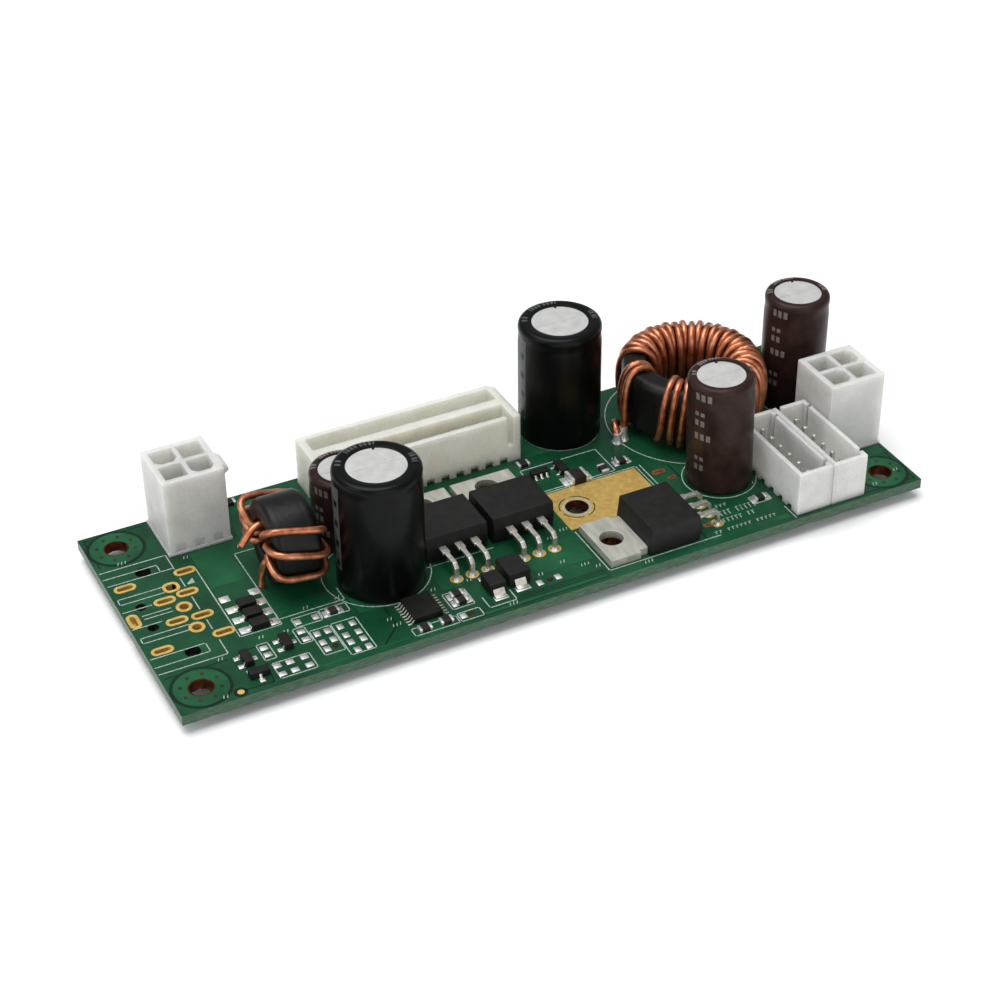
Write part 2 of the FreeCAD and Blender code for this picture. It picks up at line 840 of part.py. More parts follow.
def joint(name, x, y, half_x, half_y):
    """The solder cone round a lead, below the board."""
    foot = D["joint_foot"]
    cone = DOC.addObject("Part::Wedge", name)
    spans = (("Xmin", ZERO), ("Ymin", ZERO), ("Zmin", ZERO),
             ("Xmax", (half_x + foot) * 2), ("Ymax", D["stub"]), ("Zmax", (half_y + foot) * 2),
             ("X2min", foot), ("X2max", foot + half_x * 2), ("Z2min", foot), ("Z2max", foot + half_y * 2))
    for span, size in spans:
        bind(cone, span, size)
    cone.Placement = FreeCAD.Placement(Vector(), FreeCAD.Rotation(Vector(1, 0, 0), -90))
    place(cone, x - half_x - foot, y - half_y - foot, ZERO)
    return cone


def soldered(name, lead, x, y, half_x, half_y):
    """A lead with its solder cone as one piece."""
    return fused(name, [lead, joint(name + "_joint", x, y, half_x, half_y)])


def pin_group(name, places, width, rise):
    """Square pins that stand through the board."""
    pins = []
    for n, (x, y) in enumerate(places):
        label = "%s_pin%d" % (name, n)
        pin = post(label, x, y, width, -D["stub"], TOP + rise)
        pins.append(soldered(label + "_soldered", pin, x, y, width / 2, width / 2))
    return grouped(name, pins)


def signal_header():
    """The long two-row header: two channels, a middle rib, a key slot and base notches."""
    body = new_body("signal_header")
    half_x, half_y = D["signal_length"] / 2, D["signal_width"] / 2
    cut = D["signal_corner_cut"]
    outline = [(-half_x, -half_y), (half_x, -half_y), (half_x, half_y - cut), (half_x - cut, half_y),
               (-half_x, half_y)]
    pad(body, "signal_block", sketch_on(body, "signal_outline", "XY_Plane", [outline]), D["signal_height"])
    inner_x = half_x - D["signal_end_wall"]
    inner_y, rib = half_y - D["signal_wall"], D["signal_rib"] / 2
    channels = [rectangle((-inner_x, rib), (inner_x, inner_y)), rectangle((-inner_x, -inner_y), (inner_x, -rib))]
    top = sketch_on(body, "signal_channels", "XY_Plane", channels, lift=D["signal_height"])
    pocket(body, "signal_channel_cuts", top, D["signal_height"] - D["signal_floor"])
    key_x = half_x - D["signal_end_wall"]
    key = rectangle((key_x - D["signal_key_width"], D["signal_height"] - D["signal_key_depth"]),
                    (key_x, D["signal_height"]))
    face = sketch_on(body, "signal_key", "XZ_Plane", [key], lift=half_y)
    pocket(body, "signal_key_cut", face, D["signal_wall"])
    pin = D["signal_pin"] / 2
    ways = int(D["signal_ways"].value)
    first = -(D["signal_pitch"] * (ways - 1) / 2)
    row = D["signal_rib"] / 2 + (inner_y - rib) / 2
    seats = []
    for sy in (-1, 1):
        seats.append(rectangle((first - pin, row * sy - pin), (first + pin, row * sy + pin)))
    seat = sketch_on(body, "signal_pin_seat", "XY_Plane", seats, lift=D["signal_floor"])
    seat_cut = pocket(body, "signal_pin_seat_cut", seat, D["signal_floor"])
    repeat_along(body, "signal_pin_seats", [seat_cut], seat, ways, D["signal_pitch"])
    half_notch = D["signal_notch_width"] / 2
    notch = rectangle((first - half_notch, ZERO), (first + half_notch, D["signal_notch_height"]))
    edge = sketch_on(body, "signal_notch", "XZ_Plane", [notch], lift=half_y)
    notch_cut = pocket(body, "signal_notch_cut", edge, D["signal_notch_depth"])
    repeat_along(body, "signal_notches", [notch_cut], edge, ways, D["signal_pitch"])
    place(body, D["signal_x"], D["signal_y"], TOP)
    return body


def repeat_along(body, name, features, sketch, count, pitch):
    """A row of copies of some features along their sketch's first axis."""
    pattern = body.newObject("PartDesign::LinearPattern", name)
    pattern.Originals = features
    pattern.Direction = (sketch, ["H_Axis"])
    pattern.Occurrences = count
    bind(pattern, "Length", pitch * (count - 1))
    body.Tip = pattern
    return pattern


def output_header(name, side):
    """A shrouded single-row header with slits in its walls and notches at its foot."""
    body = new_body(name)
    half = D["output_width"] / 2
    length, height = D["output_length"], D["output_height"]
    outline = rectangle((-half, ZERO), (half, length))
    pad(body, name + "_block", sketch_on(body, name + "_outline", "XY_Plane", [outline]), height)
    wall = D["output_wall"]
    trough = rectangle((-half + wall, wall), (half - wall, length - wall))
    top = sketch_on(body, name + "_trough", "XY_Plane", [trough], lift=height)
    pocket(body, name + "_trough_cut", top, height - D["output_floor"])
    slit, inset = D["output_slit"], D["output_slit_inset"]
    slits = []
    for low in (inset, length - inset - slit):
        slits.append(rectangle((low, height - D["output_slit_depth"]), (low + slit, height)))
    side_face = sketch_on(body, name + "_slits", "YZ_Plane", slits, lift=half)
    pocket(body, name + "_slit_cuts", side_face, wall)
    back_slit = rectangle((-half + wall, height - D["output_slit_depth"]), (-half + wall + slit, height))
    back = sketch_on(body, name + "_back_slit", "XZ_Plane", [back_slit], lift=wall - length)
    pocket(body, name + "_back_slit_cut", back, wall)
    ways = int(D["output_ways"].value)
    first = length / 2 - D["output_pitch"] * (ways - 1) / 2
    pin = D["output_pin"] / 2
    seats = []
    notches = []
    half_notch = D["output_notch_width"] / 2
    for way in range(ways):
        y = first + D["output_pitch"] * way
        seats.append(rectangle((-pin, y - pin), (pin, y + pin)))
        notches.append(rectangle((y - half_notch, ZERO), (y + half_notch, D["output_notch_height"])))
    seat = sketch_on(body, name + "_seats", "XY_Plane", seats, lift=D["output_floor"])
    pocket(body, name + "_seat_cuts", seat, D["output_floor"])
    foot = sketch_on(body, name + "_notches", "YZ_Plane", notches, lift=D["output_notch_depth"] - half)
    pocket(body, name + "_notch_cuts", foot, D["output_notch_depth"])
    place(body, output_centre(side), D["output_front"], TOP)
    return body


# Coils

def ring_outline(bore, radius, bottom, top, corner):
    """Section of a core, its outer edges broken."""
    return [(bore, bottom), (radius - corner, bottom), (radius, bottom + corner), (radius, top - corner),
            (radius - corner, top), (bore, top)]


def inductor_core():
    """The lying ring core."""
    outline = ring_outline(D["inductor_bore"], D["inductor_radius"], ZERO, D["inductor_height"],
                           D["inductor_round"])
    body = turned_body("inductor_core", outline)
    place(body, D["inductor_x"], D["inductor_y"], TOP + D["inductor_lift"])
    return body


def choke_core():
    """The standing ring core, its axis along the board."""
    half = D["choke_width"] / 2
    outline = ring_outline(D["choke_bore"], D["choke_radius"], -half, half, D["choke_round"])
    body = turned_body("choke_core", outline)
    body.Placement = FreeCAD.Placement(Vector(), FreeCAD.Rotation(Vector(0, 1, 0), 90))
    place(body, D["choke_x"], D["choke_y"], TOP + D["choke_rise"])
    return body


def inductor_winding():
    """One wire round the lying core: two staggered layers in the bore, both ends down to the board."""
    wire, gap = D["inductor_wire"].value, D["inductor_gap"].value
    outer = D["inductor_radius"].value + gap + wire
    near = D["inductor_bore"].value - gap - wire
    low = D["inductor_lift"].value - gap - wire
    high = D["inductor_lift"].value + D["inductor_height"].value + gap + wire
    bend, step = D["inductor_bend"].value, D["inductor_step"].value
    centre = Vector(D["inductor_x"].value, D["inductor_y"].value, TOP.value)

    def at(radius, degrees, height):
        angle = math.radians(degrees)
        ahead = Vector(math.cos(angle), math.sin(angle), 0)
        return centre + ahead * radius + Vector(0, 0, height), Vector(-ahead.y, ahead.x, 0)

    def lead_end(radius, degrees, height):
        return at(radius, degrees, height)[0], Vector(0, -1, 0)

    turns = [D["entry_turn"].value]
    turns += [D["inductor_first"].value + step * n for n in range(int(D["inductor_turns"].value))]
    turns.append(D["exit_turn"].value)
    below = -TOP.value - D["stub"].value
    entry = (D["entry_radius"].value, D["entry_angle"].value)
    path = [lead_end(*entry, below), lead_end(*entry, D["entry_rise"].value)]
    for index, turn in enumerate(turns):
        inner = near - D["inductor_layer"].value * (index % 2)
        path += [at(outer, turn, high - bend), at(outer - bend, turn, high)]
        path += [at(inner, turn, high), at(inner, turn, low)]
        if index < len(turns) - 1:
            path.append(at(outer, turns[index + 1] - step, low))
    last, rise = turns[-1], D["exit_rise"].value
    away, end = D["exit_radius"].value, D["exit_angle"].value + 360
    path += [at(outer, last, low), at((outer + away) / 2, last + (end - last) / 3, (low + rise) / 2)]
    path.append(at(away, last + (end - last) * 2 / 3, rise))
    path += [lead_end(away, end, rise - wire), lead_end(away, end, below)]
    return shaped("inductor_winding", [wire_solid(path, wire)])


def choke_winding(name, turns, last, start, finish):
    """One winding of the standing choke.

    Each turn is (angle in the bore, angle at its right end, angle at its left end, slack).
    The last pass through the bore has an angle of its own.
    """
    wire, gap = D["choke_wire"].value, D["choke_gap"].value
    outer = D["choke_radius"].value + gap + wire
    inner = D["choke_bore"].value - gap - wire
    side, bend = choke_side().value, D["choke_bend"].value
    centre = Vector(D["choke_x"].value, D["choke_y"].value, (TOP + D["choke_rise"]).value)

    def at(x, radius, degrees):
        angle = math.radians(degrees)
        ahead = Vector(0, math.cos(angle), math.sin(angle))
        return centre + ahead * radius + Vector(x, 0, 0), Vector(0, -ahead.z, ahead.y)

    path = [(spot, Vector(0, 1, 0)) for spot in start]
    for bore, right, left, slack in turns:
        path += [at(-side, inner, bore), at(side, inner, bore)]
        path += [at(side, outer - bend, right), at(side - bend, outer, right)]
        path += [at(bend - side, outer + slack, left), at(-side - slack, outer - bend, left)]
    path += [at(-side, inner, last), at(side, inner, last)]
    path += [(spot, Vector(0, 1, 0)) for spot in finish]
    return shaped(name, [wire_solid(path, wire)])


def lead_drop(place_xy, downward):
    """The straight end of a wire from above the board to below it."""
    x, y = place_xy[0].value, place_xy[1].value
    ends = [Vector(x, y, (TOP + D["choke_lead_rise"]).value), Vector(x, y, -D["stub"].value)]
    return ends if downward else ends[::-1]


FRONT_TURNS = ((210.0, 213.0, 198.0, 0.0), (180.0, 180.0, 162.0, 0.0), (150.0, 148.0, 133.0, 0.0))
FRONT_LAST = 122.0
REAR_TURNS = ((62.0, 20.0, 38.0, 1.0), (32.0, -4.0, 14.0, 0.3), (2.0, -30.0, -12.0, 0.0))
REAR_LAST = -27.0


def choke_windings():
    """The two windings of the choke, each a thick wire."""
    left, front_right, rear_right = choke_lead_places()
    slack = D["choke_slack"].value
    loops = [(bore, right, back, loose * slack) for bore, right, back, loose in REAR_TURNS]
    level = (TOP + D["choke_rise"]).value
    tip = Vector((D["choke_x"] - choke_side() - D["choke_end_reach"]).value, D["choke_y"].value, level)
    front = choke_winding("choke_front_winding", FRONT_TURNS, FRONT_LAST, lead_drop(left, False),
                          lead_drop(front_right, True))
    rear = choke_winding("choke_rear_winding", loops, REAR_LAST, [tip], lead_drop(rear_right, True))
    return [front, rear]


def coil_joints(windings):
    """Solder cones round the ends of the coil wires, cut to fit them."""
    front, rear, inductor = windings
    reach = D["choke_wire"] + D["joint_skin"]
    cones = []
    for n, ((x, y), winding) in enumerate(zip(choke_lead_places(), (front, front, rear))):
        cone = joint("choke_cone%d" % n, x, y, reach, reach)
        cones.append(cut_out("choke_joint%d" % n, cone, [winding]))
    (entry_x, entry_y), (exit_x, exit_y) = inductor_lead_places()
    skin = D["inductor_wire"] + D["joint_skin"]
    shared = joint("inductor_cone", (entry_x + exit_x) / 2, (entry_y + exit_y) / 2,
                   (entry_x - exit_x) / 2 + skin, (entry_y - exit_y) / 2 + skin)
    cones.append(cut_out("inductor_joint", shared, [inductor]))
    return grouped("coil_joints", cones)


# Capacitors

def sleeve_outline(name, family):
    """Half section of the shrink sleeve, rolled over the can's rim."""
    radius, low, thick = D[family + "_can_radius"], D["can_lift"], D["sleeve_thick"]
    top, shoulder = D[name + "_height"], D["sleeve_shoulder"]
    outer, rim = radius + thick, radius + thick - D[family + "_rim"]
    return [(radius, low), (outer, low), (outer, top - shoulder), (outer - shoulder, top), (rim, top),
            (rim, top - thick), (radius, top - thick)]


def lean_of(name):
    """Angle by which a capacitor leans to the left."""
    return D["lean_left"].value if name == "front_output_capacitor" else 0.0


def capacitor(name, family):
    """Can, sleeve and bung of one capacitor."""
    lean = lean_of(name)
    tilt = FreeCAD.Rotation(Vector(0, 1, 0), -lean)
    radius, seat = D[family + "_can_radius"], D["can_lift"] + D["bung_thick"]
    high = D[name + "_height"] - D["sleeve_thick"]
    can = turned_body(name + "_can", [(ZERO, seat), (radius, seat), (radius, high), (ZERO, high)])
    sleeve = turned_body(name + "_sleeve", sleeve_outline(name, family))
    bung = DOC.addObject("Part::Prism", name + "_bung")
    bung.Polygon = 12
    bind(bung, "Circumradius", radius - D["bung_inset"])
    bind(bung, "Height", D["bung_thick"])
    pieces = ((can, ZERO), (sleeve, ZERO), (bung, D["can_lift"]))
    for piece, lift in pieces:
        along = lift * round(-math.sin(math.radians(lean)), 9)
        up = lift * round(math.cos(math.radians(lean)), 9)
        piece.Placement = FreeCAD.Placement(Vector(), tilt)
        place(piece, D[name + "_x"] + along, D[name + "_y"], TOP + up)
    return can, sleeve, bung


def capacitor_leads():
    """The soldered leads of all the capacitors, from the bungs through the board."""
    leads = []
    for name, family, _, _, _, _ in CAPACITORS:
        dip = D["cap_lead"] * round(math.tan(math.radians(lean_of(name))), 9)
        for n, (x, y) in enumerate(lead_pair(name, family)):
            label = "%s_lead%d" % (name, n)
            lead = six_sided(label, x, y, D["cap_lead"], -D["stub"], TOP + D["can_lift"] - dip)
            leads.append(soldered(label + "_soldered", lead, x, y, D["cap_lead"], D["cap_lead"]))
    return grouped("capacitor_leads", leads)


# Power transistors

def transistor_rotation(which):
    """Turn that points a transistor's legs the right way."""
    return FreeCAD.Rotation(Vector(0, 0, 1), 0 if transistor_axes()[which][2] else -90)


def seat_transistor(body, which, aside=ZERO):
    """Put a transistor part in its place on the board."""
    x, y, ahead_x, ahead_y, _ = transistor_axes()[which]
    body.Placement = FreeCAD.Placement(Vector(), transistor_rotation(which))
    place(body, x - aside * ahead_y, y + aside * ahead_x, TOP)


def transistor_body(which):
    """The moulded body, bevelled above and below the line of the legs, with room for the tab below."""
    name = which + "_transistor_body"
    body = new_body(name)
    start, end = D["tab_length"], D["tab_length"] + D["body_length"]
    draft, rise = D["body_draft"], D["leg_rise"]
    thin = D["leg_thick"] / 2
    side = [(start, ZERO), (end - draft, ZERO), (end, rise - thin), (end, rise + thin),
            (end - draft, D["body_thick"]), (start + draft, D["body_thick"]), (start, D["tab_thick"])]
    profile = sketch_on(body, name + "_profile", "XZ_Plane", [side])
    pad(body, name + "_moulding", profile, D["body_width"], midplane=True)
    half = D["tab_inside_width"] / 2
    slot = rectangle((start, -half), (start + D["tab_inside"], half))
    seat = sketch_on(body, name + "_seat", "XY_Plane", [slot], lift=D["tab_thick"])
    pocket(body, name + "_seat_cut", seat, D["tab_thick"])
    seat_transistor(body, which)
    return body


def transistor_tab(which):
    """The metal tab with its screw hole and corner notches, running on under the moulding."""
    name = which + "_transistor_tab"
    body = new_body(name)
    half, inner = D["body_width"] / 2, D["tab_inside_width"] / 2
    notch, long = D["tab_notch"], D["tab_length"]
    start = long - D["tab_notch_length"]
    deep = long + D["tab_inside"]
    outline = [(ZERO, -half), (start, -half), (start, notch - half), (long, notch - half), (long, -inner),
               (deep, -inner), (deep, inner), (long, inner), (long, half - notch), (start, half - notch),
               (start, half), (ZERO, half)]
    plate = sketch_on(body, name + "_outline", "XY_Plane", [outline])
    pad(body, name + "_plate", plate, D["tab_thick"])
    hole = sketch_on(body, name + "_hole", "XY_Plane", [], lift=D["tab_thick"])
    circle = Part.Circle(Vector(D["tab_hole_inset"].value, 0, 0), Vector(0, 0, 1), D["tab_hole"].value)
    edge = hole.addGeometry(circle, False)
    number(hole, Sketcher.Constraint("DistanceX", -1, 1, edge, 3, D["tab_hole_inset"].value),
           D["tab_hole_inset"])
    hole.addConstraint(Sketcher.Constraint("PointOnObject", edge, 3, -1))
    number(hole, Sketcher.Constraint("Radius", edge, D["tab_hole"].value), D["tab_hole"])
    pocket(body, name + "_hole_cut", hole, D["tab_thick"])
    seat_transistor(body, which)
    return body


def transistor_legs(which):
    """Three soldered legs: a broad shoulder, a narrow run and a bend down into the board."""
    name = which + "_transistor_legs"
    start = D["tab_length"] + D["body_length"]
    reach = start + transistor_axes()[which][4]
    half, rise = D["leg_thick"] / 2, D["leg_rise"]
    bend = D["leg_bend"]
    foot = -TOP - D["stub"]
    legs = []
    for n, step in enumerate((-1, 0, 1)):
        label = "%s_leg%d" % (name, n)
        body = new_body(label)
        side = [(start, rise - half), (reach - half - bend, rise - half), (reach - half, rise - half - bend),
                (reach - half, foot), (reach + half, foot), (reach + half, rise + half - bend),
                (reach + half - bend, rise + half), (start, rise + half)]
        profile = sketch_on(body, label + "_profile", "XZ_Plane", [side])
        pad(body, label + "_run", profile, D["leg_width"], midplane=True)
        broad = rectangle((start, rise - half), (start + D["leg_shoulder_length"], rise + half))
        shoulder = sketch_on(body, label + "_shoulder", "XZ_Plane", [broad])
        pad(body, label + "_shoulder_pad", shoulder, D["leg_shoulder"], midplane=True)
        seat_transistor(body, which, D["leg_pitch"] * step)
        x, y = leg_places(which)[n]
        along, across = D["leg_thick"] / 2, D["leg_width"] / 2
        halves = (along, across) if transistor_axes()[which][2] else (across, along)
        legs.append(soldered(label + "_soldered", body, x, y, *halves))
    return grouped(name, legs)


# Surface parts

def gull_lead(name, x, y, turn, inner, outer, foot, thick, rise, width):
    """A small lead: a flat foot on the board and a slope up into the body."""
    body = new_body(name)
    side = [(outer - foot, ZERO), (outer, ZERO), (outer, thick), (outer - foot, thick),
            (inner, rise + thick), (inner, rise)]
    profile = sketch_on(body, name + "_profile", "XZ_Plane", [side])
    pad(body, name + "_strip", profile, width, midplane=True)
    body.Placement = FreeCAD.Placement(Vector(), FreeCAD.Rotation(Vector(0, 0, 1), turn))
    place(body, x, y, TOP)
    return body


def block_on_board(name, x, y, size_x, size_y, height, lift=ZERO):
    """A box centred on a place of the board."""
    half_x, half_y = as_size(size_x) / 2, as_size(size_y) / 2
    return block(name, (x - half_x, y - half_y, TOP + lift), (x + half_x, y + half_y, TOP + lift + height))


def controller():
    """The sixteen-leaded controller chip."""
    body = block_on_board("controller_body", D["chip_x"], D["chip_y"], D["chip_width"], D["chip_length"],
                          D["chip_thick"], D["chip_lift"])
    leads = []
    rise = D["chip_lift"] + (D["chip_thick"] - D["chip_lead_thick"]) / 2
    rows = grid(int(D["chip_side_leads"].value), D["chip_pitch"], D["chip_y"])
    for side, turn in (("left", 180), ("right", 0)):
        for n, y in enumerate(rows):
            leads.append(gull_lead("controller_%s_lead%d" % (side, n), D["chip_x"], y, turn,
                                   D["chip_width"] / 2, D["chip_span"] / 2, D["chip_foot"],
                                   D["chip_lead_thick"], rise, D["chip_lead_width"]))
    return [body, grouped("controller_leads", leads)]


def diode(name):
    """A moulded diode and its two folded terminals, the cathode towards the front."""
    x, y = D[name + "_x"], D[name + "_y"]
    width, length, height = D[name + "_width"], D[name + "_length"], D[name + "_height"]
    body = block_on_board(name + "_body", x, y, width, length, height - D["diode_lift"], D["diode_lift"])
    terminals = []
    for end, turn in (("front", -90), ("back", 90)):
        terminals.append(gull_lead("%s_%s_terminal" % (name, end), x, y, turn, length / 2,
                                   length / 2 + D["diode_terminal_reach"], D["diode_terminal_reach"] / 2,
                                   D["diode_terminal_thick"], D["diode_lift"] + height / 3,
                                   D["diode_terminal_width"]))
    return [body, grouped(name + "_terminals", terminals)]


def rectifiers():
    """The row of small rectifiers."""
    bodies, terminals = [], []
    for n in range(int(D["rectifier_count"].value)):
        x, y = D["rectifier_x"], D["rectifier_first_y"] + D["rectifier_pitch"] * n
        bodies.append(block_on_board("rectifier_body%d" % n, x, y, D["rectifier_length"],
                                     D["rectifier_width"], D["rectifier_height"] - D["diode_lift"],
                                     D["diode_lift"]))
        for side, turn in (("left", 180), ("right", 0)):
            inner = D["rectifier_length"] / 2
            terminals.append(gull_lead("rectifier_%s_terminal%d" % (side, n), x, y, turn, inner,
                                       inner + D["rectifier_reach"], D["rectifier_reach"] * 2 / 3,
                                       D["small_lead_thick"], D["rectifier_height"] / 3,
                                       D["rectifier_terminal"]))
    return [grouped("rectifier_bodies", bodies), grouped("rectifier_terminals", terminals)]


def small_transistors():
    """Three-leaded transistors and the six-leaded driver."""
    bodies, leads = [], []
    wide, long = D["small_body_width"], D["small_body_length"]
    inner, spread = wide / 2, D["small_lead_spread"]
    places = [(name, D[name + "_x"], D[name + "_y"], turned, False)
              for name, _, _, turned in SMALL_TRANSISTORS]
    places.append(("driver", D["driver_x"], D["driver_y"], 1, True))
    for name, x, y, turned, six in places:
        size = (long, wide) if turned else (wide, long)
        bodies.append(block_on_board(name + "_body", x, y, *size, D["small_body_height"] - D["small_lift"],
                                     D["small_lift"]))
        spots = [(180, -1), (180, 1)]
        spots += [(0, -1), (0, 0), (0, 1), (180, 0)] if six else [(0, 0)]
        for n, (turn, step) in enumerate(spots):
            along = spread * step
            lead_x, lead_y = (x + along, y) if turned else (x, y + along)
            leads.append(gull_lead("%s_lead%d" % (name, n), lead_x, lead_y, turn - 90 * turned, inner,
                                   inner + D["small_lead_reach"], D["small_lead_reach"] * 2 / 3,
                                   D["small_lead_thick"], D["small_body_height"] / 2,
                                   D["small_lead_width"]))
    return [grouped("small_transistor_bodies", bodies), grouped("small_transistor_leads", leads)]


def chip_parts():
    """Chip resistors and capacitors between their metal end caps, and the flat power coil."""
    bodies, caps = [], []
    items = [(name, D[name + "_x"], D[name + "_y"], turned, D["chip_part_length"], D["chip_part_width"],
              D["chip_part_height"], D["chip_cap_length"]) for name, _, _, turned in CHIP_PARTS]
    items.append(("coil", D["coil_x"], D["coil_y"], 0, D["coil_length"], D["coil_width"], D["coil_height"],
                  D["coil_terminal"]))
    for name, x, y, turned, length, width, height, cap in items:
        middle = length - cap * 2
        size = (width, middle) if turned else (middle, width)
        bodies.append(block_on_board(name + "_body", x, y, *size, height))
        offset = (length - cap) / 2
        for n, sign in enumerate((-1, 1)):
            shift = offset * sign
            cap_x, cap_y = (x, y + shift) if turned else (x + shift, y)
            size = (width, cap) if turned else (cap, width)
            caps.append(block_on_board("%s_cap%d" % (name, n), cap_x, cap_y, *size, height))
    return [grouped("chip_bodies", bodies), grouped("chip_end_caps", caps)]


def bare_pads():
    """Tinned pads that carry no part."""
    pads = []
    for name, _, _, turned in BARE_PADS:
        size = (D["bare_pad_length"], D["bare_pad_width"])
        size = size if turned else size[::-1]
        pads.append(block_on_board(name + "_pad", D[name + "_x"], D[name + "_y"], *size,
                                   D["bare_pad_height"]))
    return grouped("tinned_pads", pads)


# Assembly

def build():
    """Make every piece and return them in order."""
    pieces = [board(), thermal_pad()]
    for side, latch_ahead in (("left", 0), ("right", 90)):
        pieces.append(power_header(side, latch_ahead))
        pieces.append(pin_group(side + "_power_pins", power_pin_places(side), D["power_pin"],
                                D["power_pin_rise"]))
    pieces.append(signal_header())
    pieces.append(pin_group("signal_pins", signal_pin_places(), D["signal_pin"], D["signal_pin_rise"]))
    for name, side in (("inner_output", -1), ("outer_output", 1)):
        pieces.append(output_header(name + "_header", side))
        pieces.append(pin_group(name + "_pins", output_pin_places(side), D["output_pin"],
                                D["output_pin_rise"]))
    front, rear = choke_windings()
    winding = inductor_winding()
    pieces += [choke_core(), front, rear, inductor_core(), winding, coil_joints((front, rear, winding))]
    bungs = []
    for name, family, _, _, _, _ in CAPACITORS:
        can, sleeve, bung = capacitor(name, family)
        pieces += [can, sleeve]
        bungs.append(bung)
    pieces += [grouped("capacitor_bungs", bungs), capacitor_leads()]
    for which in ("left", "middle", "side"):
        pieces += [transistor_body(which), transistor_tab(which), transistor_legs(which)]
    pieces += controller() + diode("large_diode") + diode("small_diode")
    pieces += rectifiers() + small_transistors() + chip_parts()
    pieces.append(bare_pads())
    return pieces


def check(pieces):
    """Stop if any object failed or any piece is empty or broken."""
    for item in DOC.Objects:
        if "Invalid" in item.State or "Error" in item.State:
            raise RuntimeError("failed: %s %s" % (item.Name, item.State))
    for piece in pieces:
        if piece.Shape.isNull() or not piece.Shape.isValid():
            raise RuntimeError("broken shape: %s" % piece.Label)
        for solid in piece.Shape.Solids:
            if solid.Volume <= 0:
                raise RuntimeError("empty solid: %s" % piece.Label)


PIECES = build()
DOC.recompute()
check(PIECES)
os.makedirs("parts", exist_ok=True)
for piece in PIECES:
    piece.Shape.exportStep("parts/%s.step" % piece.Label)
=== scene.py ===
import math
import random

import bpy
from mathutils import Matrix, Vector


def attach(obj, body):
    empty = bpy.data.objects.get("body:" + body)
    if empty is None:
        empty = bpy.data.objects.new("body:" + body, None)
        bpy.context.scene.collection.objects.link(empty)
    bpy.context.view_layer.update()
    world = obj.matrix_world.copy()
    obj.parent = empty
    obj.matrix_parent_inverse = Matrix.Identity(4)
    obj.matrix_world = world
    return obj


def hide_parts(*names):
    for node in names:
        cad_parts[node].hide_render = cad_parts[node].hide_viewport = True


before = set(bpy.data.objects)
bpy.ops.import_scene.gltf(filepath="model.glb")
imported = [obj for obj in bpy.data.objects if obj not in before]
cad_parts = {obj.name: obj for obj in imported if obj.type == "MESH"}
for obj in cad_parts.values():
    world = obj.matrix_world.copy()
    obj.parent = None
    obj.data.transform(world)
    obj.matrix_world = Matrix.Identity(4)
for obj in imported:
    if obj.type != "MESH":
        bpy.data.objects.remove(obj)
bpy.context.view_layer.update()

# Lengths are millimetres, turned into metres by MM.
# Places on the board are measured from its front left corner, heights from its underside.

MM = 0.001
LENGTH, WIDTH, TOP = 120.0, 44.5, 1.6
STUB = 1.8
MERGE = 2e-6
LINE = 0.16
LINE_RISE = 0.035
random.seed(12)


def spot(x, y, z=TOP):
    """A place in metres from millimetres on the board."""
    return Vector((x - LENGTH / 2, y - WIDTH / 2, z)) * MM


# Selecting, editing and finishing

def select_only(piece):
    bpy.ops.object.select_all(action="DESELECT")
    piece.select_set(True)
    bpy.context.view_layer.objects.active = piece


def edit(piece):
    select_only(piece)
    bpy.ops.object.mode_set(mode="EDIT")


def leave_edit():
    bpy.ops.object.mode_set(mode="OBJECT")


def added(name):
    """The object that an operator has just made, under its own name."""
    piece = bpy.context.object
    piece.name = name
    piece.data.name = name
    return piece


def settle(piece):
    """Put the object's place, turn and size into its mesh."""
    select_only(piece)
    bpy.ops.object.transform_apply(location=True, rotation=True, scale=True)
    return piece


def apply_modifier(piece, kind, **settings):
    select_only(piece)
    modifier = piece.modifiers.new(kind.title(), kind)
    for key, value in settings.items():
        setattr(modifier, key, value)
    bpy.ops.object.modifier_apply(modifier=modifier.name)


def smooth(piece, degrees=35):
    select_only(piece)
    bpy.ops.object.shade_smooth_by_angle(angle=math.radians(degrees))


def bevelled(piece, width, degrees=30):
    """Broken edges of a width in millimetres."""
    apply_modifier(piece, "BEVEL", width=width * MM, segments=2, limit_method="ANGLE",
                   angle_limit=math.radians(degrees), use_clamp_overlap=True)


def dress(piece, material, slot, *nodes):
    """Give a finished piece its material and its place on the board; the slot argument is not used."""
    piece.data.materials.clear()
    piece.data.materials.append(material)
    if nodes:
        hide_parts(*nodes)
    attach(piece, "root")
    return piece


def coat(material, *nodes):
    """Give CAD nodes whose shape is right a better material."""
    for node in nodes:
        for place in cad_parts[node].material_slots:
            place.material = material


def joined(name, pieces):
    """One piece from several."""
    bpy.ops.object.select_all(action="DESELECT")
    for piece in pieces:
        piece.select_set(True)
    bpy.context.view_layer.objects.active = pieces[0]
    bpy.ops.object.join()
    return added(name)


def mend_normals(piece):
    edit(piece)
    bpy.ops.mesh.select_all(action="SELECT")
    bpy.ops.mesh.remove_doubles(threshold=MERGE)
    bpy.ops.mesh.normals_make_consistent(inside=False)
    leave_edit()


# Ways of making a shape

